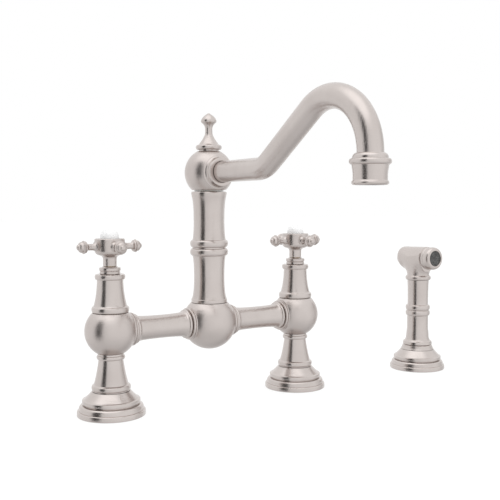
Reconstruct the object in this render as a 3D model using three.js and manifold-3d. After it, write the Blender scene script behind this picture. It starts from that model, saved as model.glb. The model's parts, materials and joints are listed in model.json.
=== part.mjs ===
// A bridge kitchen faucet with a side spray, in millimetres, +Z up.
// The origin lies on the countertop, midway between the two inlets. The bridge runs along X
// and the spout points along -Y, towards the sink.

import * as THREE from 'three';
import { mergeVertices } from 'three/addons/utils/BufferGeometryUtils.js';
import Module from 'manifold-3d';

const wasm = await Module();
wasm.setup();

// ---------------------------------------------------------------------------
// Driving dimensions
// ---------------------------------------------------------------------------

const seat = 0.3; // gap between two pieces that rest on or in each other
const runningGap = 0.4; // gap round a piece that turns or slides
const overshoot = 1; // how far a cut runs past the face that it opens

const inletSpacing = 203.2; // between the axes of the two pillars
const sprayOffset = 173.6; // from the right pillar to the side spray
const waterwayRadius = 6.5; // every passage from inlet to spout

// Sides of a turned piece, by its size, and steps along a curved stretch of an outline.
const facets = { wide: 14, turned: 12, fine: 7, bend: 2, bead: 2, ball: 5, port: 3 };

const flange = {
  radius: 30.6,
  rimHeight: 5.2,
  ringRadius: 29.0,
  ringHeight: 5.0,
  grooveRadius: 25.4,
  grooveHeight: 1.4,
  shoulderRadius: 25.9,
  shoulderHeight: 3.2,
  shoulderStep: 1.4,
  throatRadius: 20.0,
  throatHeight: 18.4,
  topRadius: 17.0,
  height: 22.0,
  wall: 3.2,
};
const gasket = { innerRadius: 19.0, outerRadius: 28.4, height: 2.0 };
const shank = { radius: 10.2, engagement: 11.4, lift: 0.6 };

const leg = {
  height: 33.7,
  footRadius: 15.8,
  beadBulge: 1.6,
  beadHeight: 5.2,
  taperRadius: 15.0,
  waistRadius: 11.0,
  collarRadius: 11.7,
  collarBulge: 1.0,
  collarHeight: 3.6,
  collarDrop: 1.7,
};
const spigot = { radius: 9.0, length: 5.4 };

const valveBall = { radius: 23.2, bottomFlatRadius: 12.6, topFlatRadius: 16.2 };
const chamber = { radius: 11.0, floorDrop: 0.8 };
const socket = { rimRadius: 15.2, rimProud: 3.6, rimWidth: 4.6, boreRadius: 9.8, depth: 6.0 };

const cartridge = {
  collarRadius: 13.0,
  collarHeight: 3.0,
  neckRadius: 8.7,
  headroom: 3.6,
  cavityRadius: 9.3,
  windowWidth: 8.0,
  windowHeight: 3.4,
};
const disc = { radius: 8.9, height: 3.0, portInner: 2.6, portOuter: 7.4, portAngle: 76 };
const spindle = { radius: 4.5, footRadius: 8.6, footHeight: 3.2, squareSize: 6.2, squareHeight: 9.0 };

const bonnet = {
  height: 34.1,
  bottomRadius: 15.6,
  bottomBulge: 1.1,
  bottomHeight: 5.2,
  skirtRadius: 14.8,
  skirtStep: 1.0,
  neckRadius: 11.6,
  topRadius: 12.5,
  topBulge: 1.0,
  topHeight: 4.6,
  plate: 3.3,
};
const gland = {
  height: 6.6,
  stepRadius: 8.8,
  stepHeight: 2.4,
  ringRadius: 9.2,
  spigotRadius: 6.7,
  spigotLength: 2.4,
};

const hub = {
  neckRadius: 5.6,
  neckHeight: 9.0,
  coneHeight: 3.2,
  radius: 12.8,
  height: 24.6,
  edge: 1.2,
  recessRadius: 9.1,
  recessDepth: 1.6,
  web: 1.7,
};
const arm = {
  bossRadius: 6.6,
  bossReach: 14.2,
  bossEdge: 1.6,
  neckRadius: 2.8,
  neckReach: 18.2,
  ballRadius: 5.2,
  ballReach: 24.6,
  ridgeRadius: 5.6,
  ridgeWidth: 1.4,
  nubRadius: 2.0,
  reach: 30.7,
  drop: 7.2,
};
const cap = { edgeHeight: 3.0, domeHeight: 7.2 };
const screw = { radius: 2.5, headRadius: 4.2, headHeight: 2.8, length: 9.5, slotWidth: 1.2, slotDepth: 1.4 };

const bridge = {
  endRadius: 12.6,
  endBulge: 1.1,
  endWidth: 3.0,
  shoulderRadius: 12.0,
  shoulderStep: 1.0,
  waistRadius: 10.7,
};

const centreBall = { radius: 25.8, topFlatRadius: 17.6, boreRadius: 11.5, boreDepth: 39.0 };

const diverter = {
  height: 30.0,
  wall: 2.0,
  collarRadius: 13.2,
  collarHeight: 2.4,
  pistonRadius: 6.2,
  pistonHeight: 9.0,
  stemRadius: 1.8,
  travel: 4.0,
  springRadius: 3.6,
  springWire: 0.9,
  passageRadius: 1.6,
};

const column = {
  height: 105.6,
  footRadius: 17.2,
  footHeight: 3.4,
  lowerWaist: 14.6,
  beadRoot: 15.9,
  beadBulge: 2.3,
  beadHeight: 7.1,
  beadGroove: 0.9,
  beadLevel: 44.7,
  upperWaist: 14.7,
  cove: 5.4,
  headRadius: 17.1,
  headHeight: 5.4,
  headEdge: 0.9,
  boreRadius: 7.2,
};
const swivel = { radius: 8.0, height: 26.0, engagement: 18.0, boreRadius: 5.0, washerRadius: 15.2, washerHeight: 0.9 };
const oRing = { groove: 1.3, height: 2.0, pitch: 6.0, level: 3.0 };

const topBall = { radius: 23.0, bottomFlatRadius: 16.2, topFlatRadius: 11.0 };
const finial = {
  grooveRadius: 10.3,
  grooveHeight: 2.2,
  ringRadius: 11.2,
  ringBulge: 1.0,
  ringHeight: 3.4,
  coneRadius: 10.2,
  coneStep: 1.5,
  coneHeight: 10.8,
  flareRadius: 6.2,
  stemRadius: 3.6,
  stemHeight: 5.4,
  knobRadius: 7.4,
  knobDrop: 6.6,
  shoulderRadius: 5.6,
  tipRadius: 1.2,
  tipHeight: 7.2,
  spigotRadius: 5.0,
  spigotLength: 4.0,
};

const spout = {
  radius: 9.8,
  wall: 1.2,
  rootReach: 13.0,
  reach: 230.6,
  slope: 1.2,
  bendStart: 87.5,
  bendRadius: 30.0,
  rise: 34.0,
  archRadius: 45.3,
  drop: 7.5,
  entry: 8.0,
  sides: 12,
  steps: 28,
};
const spoutCollar = { radius: 13.6, lipRadius: 12.0, reach: 25.4, depth: 8.0, edge: 1.0, dish: 0.6 };

const nozzle = {
  height: 23.6,
  topRadius: 11.0,
  coneRadius: 13.0,
  coneHeight: 3.8,
  ringRadius: 13.4,
  ringBulge: 1.9,
  ringHeight: 4.6,
  waistRadius: 12.5,
  lipRadius: 13.4,
  lipHeight: 2.4,
  edge: 0.8,
  boreRadius: 10.4,
  floor: 2.0,
};
const aerator = {
  radius: 10.0,
  wall: 1.2,
  height: 8.0,
  recess: 1.0,
  screenHeight: 1.4,
  screenRecess: 1.0,
  washerHeight: 1.8,
};

const holder = { height: 3.6, bottomRadius: 18.6, topRadius: 17.3, edge: 1.0, boreRadius: 11.6 };
const liner = { wall: 1.6, overhang: 2.0 };
const sprayInlet = { radius: 7.2, drop: 17.0, boreRadius: 3.6 };
const grip = {
  height: 75.2,
  collarRadius: 16.7,
  collarHeight: 5.4,
  collarEdge: 0.9,
  coveRadius: 12.6,
  coveHeight: 7.6,
  gripRadius: 11.8,
  ringRadius: 12.4,
  ringBulge: 1.2,
  ringWidth: 5.6,
  ringGap: 0.6,
  ringLevel: 34.8,
  waistRadius: 11.5,
  topRadius: 12.1,
  boreRadius: 6.0,
};
const sprayHead = {
  collarRadius: 12.9,
  collarBulge: 1.3,
  collarHeight: 4.6,
  neckRadius: 12.3,
  neckStep: 0.4,
  axisHeight: 24.6,
  tilt: 1.8,
  radius: 13.0,
  rear: 25.0,
  rearRadius: 9.2,
  rearRounding: 9.0,
  front: 15.0,
  grooveRadius: 12.0,
  grooveWidth: 1.4,
  bezelRadius: 12.6,
  bezelLength: 11.6,
  bezelLip: 10.2,
  bezelRounding: 5.0,
  bezelEdge: 0.4,
  faceRadius: 8.8,
  faceRecess: 0.6,
  faceThickness: 2.4,
  boreRadius: 7.2,
  backWall: 4.0,
};
const button = {
  radius: 8.2,
  proud: 3.4,
  edge: 0.4,
  travel: 2.5,
  depth: 4.0,
  stemRadius: 2.2,
  stemLength: 14.0,
};

// ---------------------------------------------------------------------------
// Materials
// ---------------------------------------------------------------------------

const metal = (color, roughness) => new THREE.MeshStandardMaterial({ color, roughness, metalness: 1 });
const plain = (color, roughness) => new THREE.MeshStandardMaterial({ color, roughness, metalness: 0 });

const nickel = metal(0xc8bcb2, 0.28);
const brass = metal(0xb8954e, 0.4);
const steel = metal(0xb9bbbd, 0.35);
const porcelain = plain(0xf7f6f2, 0.12);
const ceramic = plain(0xe9e2d4, 0.3);
const rubber = plain(0x232323, 0.85);
const nylon = plain(0xe6e6e0, 0.6);
const darkPlastic = plain(0x2b2b2d, 0.5);

// ---------------------------------------------------------------------------
// Outlines, turned solids and booleans
// ---------------------------------------------------------------------------

// The outline of a turned piece: radius against height, drawn up the outside.
class Outline {
  constructor(radius, height) {
    this.points = [new THREE.Vector2(radius, height)];
  }

  get last() {
    return this.points[this.points.length - 1];
  }

  line(radius, height) {
    this.points.push(new THREE.Vector2(radius, height));
    return this;
  }

  // A smooth stretch that leaves and arrives along the lines to its corner.
  curve(cornerRadius, cornerHeight, radius, height, steps = facets.bend) {
    const corner = new THREE.Vector2(cornerRadius, cornerHeight);
    const end = new THREE.Vector2(radius, height);
    const bend = new THREE.QuadraticBezierCurve(this.last, corner, end);
    this.points.push(...bend.getPoints(steps).slice(1));
    return this;
  }

  // A half-round moulding that stands out by a bulge over a height.
  bead(bulge, height, steps = facets.bead) {
    const { x, y } = this.last;
    for (let i = 1; i <= steps; i += 1) {
      const angle = -Math.PI / 2 + (Math.PI * i) / steps;
      this.line(x + bulge * Math.cos(angle), y + (height / 2) * (1 + Math.sin(angle)));
    }
    return this;
  }

  // Part of a ball about a centre on the axis, between two heights on it.
  ball(centre, radius, fromHeight, toHeight, steps = facets.ball) {
    const from = Math.asin((fromHeight - centre) / radius);
    const to = Math.asin((toHeight - centre) / radius);
    for (let i = 0; i <= steps; i += 1) {
      const angle = from + ((to - from) * i) / steps;
      this.line(radius * Math.cos(angle), centre + radius * Math.sin(angle));
    }
    return this;
  }
}

// Radius of a faceted bore whose flats stay a gap clear of a round piece.
const roomFor = (radius, gap, sides = facets.turned) => (radius + gap) / Math.cos(Math.PI / sides);

// Height of a flat of a given radius, above or below the centre of a ball.
const flatHeight = (ballRadius, flatRadius) => Math.sqrt(ballRadius ** 2 - flatRadius ** 2);

// Points along an arc about the origin of a flat section.
function arc(radius, from, to, steps) {
  return Array.from({ length: steps + 1 }, (_, i) => {
    const angle = from + ((to - from) * i) / steps;
    return new THREE.Vector2(radius * Math.cos(angle), radius * Math.sin(angle));
  });
}

const circle = (radius, sides) => arc(radius, 0, 2 * Math.PI, sides).slice(1);

const up = new THREE.Vector3(0, 0, 1);
const right = new THREE.Vector3(1, 0, 0);
const forward = new THREE.Vector3(0, -1, 0);

// A closed surface as a solid, with repeated corners and empty triangles taken out.
function solidOf(geometry) {
  const bare = geometry.clone();
  bare.deleteAttribute('normal');
  bare.deleteAttribute('uv');
  const merged = mergeVertices(bare, 1e-4);
  const index = merged.index.array;
  const triangles = [];
  for (let i = 0; i < index.length; i += 3) {
    const [a, b, c] = [index[i], index[i + 1], index[i + 2]];
    if (a !== b && b !== c && c !== a) triangles.push(a, b, c);
  }
  const vertProperties = new Float32Array(merged.attributes.position.array);
  const triVerts = new Uint32Array(triangles);
  return new wasm.Manifold(new wasm.Mesh({ numProp: 3, vertProperties, triVerts }));
}

// A turned solid on an axis through a point, its outline measured along that axis.
function turned(outline, { sides = facets.turned, along = up, at = [0, 0, 0] } = {}) {
  const points = [...outline.points];
  const first = points[0];
  if (first.x > 0) points.push(first.clone());
  const geometry = new THREE.LatheGeometry(points, sides);
  geometry.rotateX(Math.PI / 2);
  geometry.rotateZ(Math.PI / sides);
  geometry.applyQuaternion(new THREE.Quaternion().setFromUnitVectors(up, along));
  geometry.translate(...at);
  return solidOf(geometry);
}

function rod(radius, from, to, options) {
  return turned(new Outline(0, from).line(radius, from).line(radius, to).line(0, to), options);
}

function ring(innerRadius, outerRadius, from, to, options) {
  const outline = new Outline(innerRadius, from).line(outerRadius, from).line(outerRadius, to);
  return turned(outline.line(innerRadius, to), options);
}

function block(sizes, centre) {
  const geometry = new THREE.BoxGeometry(...sizes);
  geometry.translate(...centre);
  return solidOf(geometry);
}

const join = (first, ...others) => others.reduce((sum, other) => sum.add(other), first);
const cut = (first, ...tools) => tools.reduce((rest, tool) => rest.subtract(tool), first);

const faucet = new THREE.Group();

function add(name, solid, material, parent = faucet) {
  const { vertProperties, triVerts } = solid.getMesh();
  const geometry = new THREE.BufferGeometry();
  geometry.setAttribute('position', new THREE.BufferAttribute(new Float32Array(vertProperties), 3));
  geometry.setIndex(new THREE.BufferAttribute(new Uint32Array(triVerts), 1));
  geometry.computeVertexNormals();
  const mesh = new THREE.Mesh(geometry, material);
  mesh.name = name;
  parent.add(mesh);
  return mesh;
}

// ---------------------------------------------------------------------------
// Levels, each worked out from the piece below it
// ---------------------------------------------------------------------------

const legBottom = flange.height + seat;
const legTop = legBottom + leg.height;
const valveBottom = legTop + seat;
const bridgeLevel = valveBottom + flatHeight(valveBall.radius, valveBall.bottomFlatRadius);
const valveTop = bridgeLevel + flatHeight(valveBall.radius, valveBall.topFlatRadius);
const bonnetBottom = valveTop + seat;
const bonnetTop = bonnetBottom + bonnet.height;
const glandBottom = bonnetTop + seat;
const glandTop = glandBottom + gland.height;
const handleBottom = glandTop + seat;
const handleTop = handleBottom + hub.height;

const chamberFloor = bridgeLevel - chamber.floorDrop;
const fixedDiscBottom = chamberFloor + seat;
const movingDiscBottom = fixedDiscBottom + disc.height + seat;
const spindleBottom = movingDiscBottom + disc.height + seat;
const spindleFootTop = spindleBottom + spindle.footHeight;
const recessFloor = handleTop - hub.recessDepth;
const screwSeat = recessFloor - screw.headHeight - seat;
const spindleTop = screwSeat - hub.web - seat;

const centreTop = bridgeLevel + flatHeight(centreBall.radius, centreBall.topFlatRadius);
const columnBottom = centreTop + seat;
const columnTop = columnBottom + column.height;
const swivelWasherTop = columnTop + seat + swivel.washerHeight;
const topBallBottom = swivelWasherTop + seat;
const spoutLevel = topBallBottom + flatHeight(topBall.radius, topBall.bottomFlatRadius);
const topBallTop = spoutLevel + flatHeight(topBall.radius, topBall.topFlatRadius);

// ---------------------------------------------------------------------------
// Deck flanges, shared by the two pillars and the side spray
// ---------------------------------------------------------------------------

function flangeSolid(boreRadius) {
  const f = flange;
  const ringTop = f.rimHeight + f.ringHeight;
  const grooveTop = ringTop + f.grooveHeight;
  const shoulderTop = grooveTop + f.shoulderHeight;
  const rimInside = gasket.outerRadius + seat;
  const cavityRadius = gasket.innerRadius + 2 * f.wall;
  const outline = new Outline(rimInside, seat)
    .line(f.radius, seat)
    .line(f.radius, f.rimHeight - (f.radius - f.ringRadius))
    .curve(f.radius, f.rimHeight, f.ringRadius, f.rimHeight, 2)
    .curve(f.ringRadius, ringTop, f.grooveRadius, ringTop)
    .line(f.grooveRadius, grooveTop)
    .line(f.shoulderRadius, grooveTop)
    .line(f.shoulderRadius, shoulderTop - seat)
    .line(f.shoulderRadius - f.shoulderStep, shoulderTop)
    .curve(f.throatRadius, f.throatHeight, f.topRadius, f.height)
    .line(boreRadius, f.height)
    .line(boreRadius, f.height - f.wall)
    .line(cavityRadius, grooveTop - f.wall)
    .line(cavityRadius, gasket.height + seat)
    .line(rimInside, gasket.height + seat);
  return turned(outline, { sides: facets.wide });
}

function addFlange(prefix, boreRadius, group) {
  add(`${prefix}_flange`, flangeSolid(boreRadius), nickel, group);
  const gasketRing = ring(gasket.innerRadius, gasket.outerRadius, 0, gasket.height, { sides: facets.wide });
  add(`${prefix}_gasket`, gasketRing, rubber, group);
}

// ---------------------------------------------------------------------------
// A pillar: shank, leg, valve ball, bonnet, ceramic cartridge and cross handle
// ---------------------------------------------------------------------------

function legSolid() {
  const collarBottom = legTop - leg.collarDrop - leg.collarHeight;
  const beadTop = legBottom + leg.beadHeight;
  const shankTop = legBottom + shank.engagement;
  const outline = new Outline(shank.radius + seat, legBottom)
    .line(leg.footRadius, legBottom)
    .bead(leg.beadBulge, leg.beadHeight)
    .line(leg.taperRadius, beadTop + leg.beadBulge)
    .curve(leg.waistRadius + leg.collarBulge, (beadTop + collarBottom) / 2, leg.waistRadius, collarBottom)
    .line(leg.collarRadius, collarBottom)
    .bead(leg.collarBulge, leg.collarHeight)
    .line(leg.collarRadius, legTop)
    .line(spigot.radius, legTop)
    .line(spigot.radius, legTop + spigot.length)
    .line(waterwayRadius, legTop + spigot.length)
    .line(waterwayRadius, shankTop + seat)
    .line(shank.radius + seat, shankTop + seat);
  return turned(outline);
}

// The round rim that a bridge tube plugs into, on the side of a ball.
function socketRim(ballRadius, direction) {
  const reach = flatHeight(ballRadius, socket.rimRadius) + socket.rimProud;
  const at = [0, 0, bridgeLevel];
  return {
    reach,
    rim: rod(socket.rimRadius, reach - socket.rimProud - socket.rimWidth, reach, { along: direction, at }),
    bore: rod(socket.boreRadius, reach - socket.depth, ballRadius + socket.rimProud, { along: direction, at }),
    port: rod(waterwayRadius, 0, reach, { along: direction, at }),
  };
}

const valveSocketReach = flatHeight(valveBall.radius, socket.rimRadius) + socket.rimProud;
const centreSocketReach = flatHeight(centreBall.radius, socket.rimRadius) + socket.rimProud;

function valveBodySolid(side) {
  const outline = new Outline(0, valveBottom)
    .ball(bridgeLevel, valveBall.radius, valveBottom, valveTop)
    .line(0, valveTop);
  const { rim, bore, port } = socketRim(valveBall.radius, right.clone().multiplyScalar(-side));
  const ball = join(turned(outline, { sides: facets.wide }), rim);
  const spigotBore = rod(spigot.radius + seat, valveBottom - overshoot, legTop + spigot.length + seat);
  const inlet = rod(waterwayRadius, legTop, bridgeLevel);
  const hollow = rod(chamber.radius, chamberFloor, valveTop + overshoot);
  return cut(ball, spigotBore, inlet, hollow, bore, port);
}

function bonnetSolid() {
  const b = bonnet;
  const ringTop = bonnetBottom + b.bottomHeight;
  const capBottom = bonnetTop - b.topHeight;
  const boreRadius = cartridge.neckRadius + runningGap;
  const collarRoom = cartridge.collarRadius + seat;
  const collarRoof = valveTop + seat + cartridge.collarHeight + seat;
  const plateBottom = bonnetTop - b.plate;
  const outline = new Outline(collarRoom, bonnetBottom)
    .line(b.bottomRadius, bonnetBottom)
    .bead(b.bottomBulge, b.bottomHeight)
    .line(b.skirtRadius, ringTop + b.skirtStep)
    .curve(b.neckRadius, (ringTop + capBottom) / 2, b.neckRadius, capBottom)
    .line(b.topRadius, capBottom)
    .bead(b.topBulge, b.topHeight)
    .line(gland.spigotRadius + seat, bonnetTop)
    .line(gland.spigotRadius + seat, plateBottom)
    .line(boreRadius, plateBottom)
    .line(boreRadius, collarRoof)
    .line(collarRoom, collarRoof);
  return turned(outline);
}

function cartridgeSolid() {
  const c = cartridge;
  const collarBottom = valveTop + seat;
  const collarTop = collarBottom + c.collarHeight;
  const cavityRoof = spindleFootTop + runningGap;
  const top = bonnetTop - c.headroom;
  const boreRadius = roomFor(spindle.radius, seat);
  const bodyRadius = chamber.radius - seat;
  const outline = new Outline(c.cavityRadius, fixedDiscBottom)
    .line(bodyRadius, fixedDiscBottom)
    .line(bodyRadius, collarBottom)
    .line(c.collarRadius, collarBottom)
    .line(c.collarRadius, collarTop)
    .line(c.neckRadius, collarTop)
    .line(c.neckRadius, top)
    .line(boreRadius, top)
    .line(boreRadius, cavityRoof)
    .line(c.cavityRadius, cavityRoof);
  const windowLevel = spindleBottom - disc.height / 2 + c.windowHeight / 2;
  const window = block([3 * bodyRadius, c.windowWidth, c.windowHeight], [0, 0, windowLevel]);
  return cut(turned(outline), window);
}

// A ceramic disc with two facing ports, cut as sectors of a ring.
function discSolid(bottom, turn) {
  const shape = new THREE.Shape(circle(disc.radius, facets.turned));
  const half = THREE.MathUtils.degToRad(disc.portAngle) / 2;
  [turn, turn + Math.PI].forEach((middle) => {
    const outside = arc(disc.portOuter, middle - half, middle + half, facets.port);
    const inside = arc(disc.portInner, middle + half, middle - half, facets.port);
    shape.holes.push(new THREE.Path([...outside, ...inside]));
  });
  const geometry = new THREE.ExtrudeGeometry(shape, { depth: disc.height, bevelEnabled: false });
  geometry.translate(0, 0, bottom);
  return solidOf(geometry);
}

function spindleSolid() {
  const tappedRadius = screw.radius + seat;
  const tappedBottom = screwSeat - screw.length - seat;
  const squareBottom = spindleTop - spindle.squareHeight;
  const outline = new Outline(0, spindleBottom)
    .line(spindle.footRadius, spindleBottom)
    .line(spindle.footRadius, spindleFootTop)
    .line(spindle.radius, spindleFootTop)
    .line(spindle.radius, spindleTop)
    .line(tappedRadius, spindleTop)
    .line(tappedRadius, tappedBottom)
    .line(0, tappedBottom);
  const flats = [0, 1, 2, 3].map((quarter) => {
    const depth = spindle.radius;
    const middle = new THREE.Vector3(spindle.squareSize / 2 + depth / 2, 0, 0);
    middle.applyAxisAngle(up, (quarter * Math.PI) / 2);
    const sizes = quarter % 2 ? [3 * depth, depth] : [depth, 3 * depth];
    const height = spindle.squareHeight + overshoot;
    return block([...sizes, height], [middle.x, middle.y, squareBottom + height / 2]);
  });
  return cut(turned(outline), ...flats);
}

function glandSolid() {
  const boreRadius = roomFor(spindle.radius, seat);
  const stepTop = glandBottom + gland.stepHeight;
  const outline = new Outline(boreRadius, glandBottom - gland.spigotLength)
    .line(gland.spigotRadius, glandBottom - gland.spigotLength)
    .line(gland.spigotRadius, glandBottom)
    .line(gland.stepRadius, glandBottom)
    .line(gland.stepRadius, stepTop)
    .line(gland.ringRadius, stepTop + seat)
    .line(gland.ringRadius, glandTop - seat)
    .line(gland.ringRadius - seat, glandTop)
    .line(boreRadius, glandTop);
  return turned(outline);
}

// One arm of a cross handle, measured out from the handle's axis: a boss on the hub,
// a hollowed neck, a ball with a ridge round it and a small nub at its end.
function armOutline() {
  const a = arm;
  const ridgeStart = a.ballReach - a.ridgeWidth / 2;
  const ballStart = a.ballReach - a.ballRadius;
  const nubStart = a.reach - a.nubRadius;
  return new Outline(0, hub.recessRadius)
    .line(a.bossRadius, hub.recessRadius)
    .line(a.bossRadius, a.bossReach - a.bossEdge)
    .curve(a.neckRadius, a.bossReach, a.neckRadius, a.neckReach)
    .curve(a.ballRadius, ballStart, a.ballRadius, ridgeStart)
    .line(a.ridgeRadius, a.ballReach)
    .line(a.ballRadius, ridgeStart + a.ridgeWidth)
    .curve(a.ballRadius, nubStart, a.nubRadius, nubStart, 3)
    .curve(a.nubRadius, a.reach, 0, a.reach);
}

function handleSolid() {
  const h = hub;
  const neckTop = handleBottom + h.neckHeight;
  const outline = new Outline(0, handleBottom)
    .line(h.neckRadius, handleBottom)
    .line(h.neckRadius, neckTop)
    .curve(h.radius - h.edge, neckTop, h.radius, neckTop + h.coneHeight)
    .line(h.radius, handleTop - h.edge)
    .line(h.radius - h.edge, handleTop)
    .line(h.recessRadius, handleTop)
    .line(h.recessRadius, recessFloor)
    .line(screw.headRadius + seat, recessFloor)
    .line(screw.headRadius + seat, screwSeat)
    .line(0, screwSeat);
  const armLevel = handleTop - arm.drop;
  const arms = [0, 1, 2, 3].map((quarter) => {
    const along = right.clone().applyAxisAngle(up, (quarter * Math.PI) / 2);
    return turned(armOutline(), { sides: facets.fine, along, at: [0, 0, armLevel] });
  });
  const squareBottom = spindleTop - spindle.squareHeight;
  const squareSize = spindle.squareSize + 2 * seat;
  const squareHeight = spindleTop + seat - squareBottom;
  const square = block([squareSize, squareSize, squareHeight], [0, 0, squareBottom + squareHeight / 2]);
  const spindleBore = rod(spindle.radius + seat, handleBottom - overshoot, squareBottom + seat);
  const screwHole = rod(screw.radius + seat, squareBottom, screwSeat + overshoot, { sides: facets.fine });
  return cut(join(turned(outline, { sides: facets.wide }), ...arms), square, spindleBore, screwHole);
}

function screwSolid() {
  const head = screwSeat + seat;
  const top = head + screw.headHeight - 2 * seat;
  const outline = new Outline(0, head - screw.length)
    .line(screw.radius, head - screw.length)
    .line(screw.radius, head)
    .line(screw.headRadius, head)
    .line(screw.headRadius, top)
    .line(0, top);
  const slot = block([3 * screw.headRadius, screw.slotWidth, 2 * screw.slotDepth], [0, 0, top]);
  return cut(turned(outline, { sides: facets.fine }), slot);
}

function capSolid() {
  const bottom = recessFloor + seat;
  const radius = hub.recessRadius - seat;
  const edgeTop = bottom + cap.edgeHeight;
  const outline = new Outline(0, bottom)
    .line(radius, bottom)
    .line(radius, edgeTop)
    .curve(radius, edgeTop + cap.domeHeight, 0, edgeTop + cap.domeHeight, 5);
  return turned(outline);
}

function addPillar(prefix, side) {
  const group = new THREE.Group();
  group.position.x = (side * inletSpacing) / 2;
  faucet.add(group);

  addFlange(prefix, shank.radius + seat, group);
  const shankTop = legBottom + shank.engagement;
  add(`${prefix}_shank`, ring(waterwayRadius, shank.radius, shank.lift, shankTop), brass, group);
  add(`${prefix}_leg`, legSolid(), nickel, group);
  add(`${prefix}_valve_body`, valveBodySolid(side), nickel, group);
  add(`${prefix}_bonnet`, bonnetSolid(), nickel, group);
  add(`${prefix}_gland_nut`, glandSolid(), nickel, group);
  add(`${prefix}_cartridge`, cartridgeSolid(), brass, group);
  add(`${prefix}_fixed_disc`, discSolid(fixedDiscBottom, 0), ceramic, group);
  add(`${prefix}_moving_disc`, discSolid(movingDiscBottom, Math.PI / 2), ceramic, group);
  add(`${prefix}_spindle`, spindleSolid(), brass, group);
  add(`${prefix}_handle`, handleSolid(), nickel, group);
  add(`${prefix}_handle_screw`, screwSolid(), steel, group);
  add(`${prefix}_index_cap`, capSolid(), porcelain, group);
}

addPillar('left', -1);
addPillar('right', 1);

// ---------------------------------------------------------------------------
// The bridge: two waisted tubes between the valve balls and the centre ball
// ---------------------------------------------------------------------------

function bridgeTubeOutline() {
  const b = bridge;
  const start = centreSocketReach + seat;
  const end = inletSpacing / 2 - valveSocketReach - seat;
  const middle = (start + end) / 2;
  const plug = socket.depth - 2 * seat;
  const plugRadius = socket.boreRadius - seat;
  const outline = new Outline(waterwayRadius, start - plug)
    .line(plugRadius, start - plug)
    .line(plugRadius, start)
    .line(b.endRadius, start)
    .bead(b.endBulge, b.endWidth)
    .line(b.shoulderRadius, start + b.endWidth + b.shoulderStep)
    .curve(b.waistRadius, start + 2 * b.endWidth, b.waistRadius, middle)
    .curve(b.waistRadius, end - 2 * b.endWidth, b.shoulderRadius, end - b.endWidth - b.shoulderStep)
    .line(b.endRadius, end - b.endWidth)
    .bead(b.endBulge, b.endWidth)
    .line(plugRadius, end)
    .line(plugRadius, end + plug)
    .line(waterwayRadius, end + plug);
  return outline;
}

[['left', -1], ['right', 1]].forEach(([prefix, side]) => {
  const along = right.clone().multiplyScalar(side);
  const tube = turned(bridgeTubeOutline(), { along, at: [0, 0, bridgeLevel] });
  add(`${prefix}_bridge_tube`, tube, nickel);
});

// ---------------------------------------------------------------------------
// The centre ball, which holds the diverter that feeds the side spray
// ---------------------------------------------------------------------------

function centreBodySolid() {
  const c = centreBall;
  const bottom = bridgeLevel - c.radius;
  const outline = new Outline(0, bottom)
    .ball(bridgeLevel, c.radius, bottom + seat, centreTop, 2 * facets.ball)
    .line(0, centreTop);
  const sockets = [-1, 1].map((side) => socketRim(c.radius, right.clone().multiplyScalar(side)));
  const ball = join(turned(outline, { sides: facets.wide }), ...sockets.map((one) => one.rim));
  const recessBottom = centreTop - diverter.collarHeight - seat;
  const collarRecess = rod(diverter.collarRadius + seat, recessBottom, centreTop + overshoot);
  const hollow = rod(c.boreRadius, centreTop - c.boreDepth, centreTop);
  return cut(ball, collarRecess, hollow, ...sockets.flatMap((one) => [one.bore, one.port]));
}

add('centre_body', centreBodySolid(), nickel);

const diverterTop = centreTop - seat;
const diverterBottom = diverterTop - diverter.height;

function diverterCageSolid() {
  const d = diverter;
  const outerRadius = centreBall.boreRadius - seat;
  const innerRadius = outerRadius - d.wall;
  const collarBottom = diverterTop - d.collarHeight;
  const roof = diverterTop - d.wall;
  const stemBore = d.stemRadius + runningGap;
  const outline = new Outline(innerRadius, diverterBottom)
    .line(outerRadius, diverterBottom)
    .line(outerRadius, collarBottom)
    .line(d.collarRadius, collarBottom)
    .line(d.collarRadius, diverterTop)
    .line(stemBore, diverterTop)
    .line(stemBore, roof)
    .line(innerRadius, roof);
  const window = block([4 * outerRadius, d.pistonRadius, d.pistonRadius], [0, 0, bridgeLevel]);
  const passages = [-1, 1].map((side) => rod(d.passageRadius, roof - overshoot, diverterTop + overshoot, {
    sides: facets.fine,
    at: [0, side * (stemBore + innerRadius) / 2, 0],
  }));
  return cut(turned(outline), window, ...passages);
}

const pistonRest = diverterBottom + diverter.travel + seat;
const pistonRadius = centreBall.boreRadius - seat - diverter.wall - runningGap;

function diverterPistonSolid() {
  const d = diverter;
  const pistonTop = pistonRest + d.pistonHeight;
  const outline = new Outline(0, pistonRest)
    .line(pistonRadius, pistonRest)
    .line(pistonRadius, pistonTop)
    .line(d.stemRadius, pistonTop)
    .line(d.stemRadius, diverterTop)
    .line(0, diverterTop);
  return turned(outline);
}

// A spring as closed turns in a row, each resting on the next.
function springSolid(radius, wire, from, to, options) {
  const outline = new Outline(radius - wire / 2, from);
  const turns = Math.max(2, Math.floor((to - from) / (1.8 * wire)));
  const pitch = (to - from) / turns;
  outline.line(radius + wire / 2, from);
  for (let i = 0; i < turns; i += 1) outline.bead(wire / 3, pitch, 2);
  return turned(outline.line(radius - wire / 2, to), options);
}

const diverterSpring = springSolid(
  diverter.springRadius,
  diverter.springWire,
  pistonRest + diverter.pistonHeight + seat,
  diverterTop - diverter.wall - seat,
  { sides: facets.fine },
);

add('diverter_cage', diverterCageSolid(), brass);
add('diverter_piston', diverterPistonSolid(), nylon);
add('diverter_spring', diverterSpring, steel);

// ---------------------------------------------------------------------------
// The column and the swivel that the spout turns on
// ---------------------------------------------------------------------------

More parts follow.
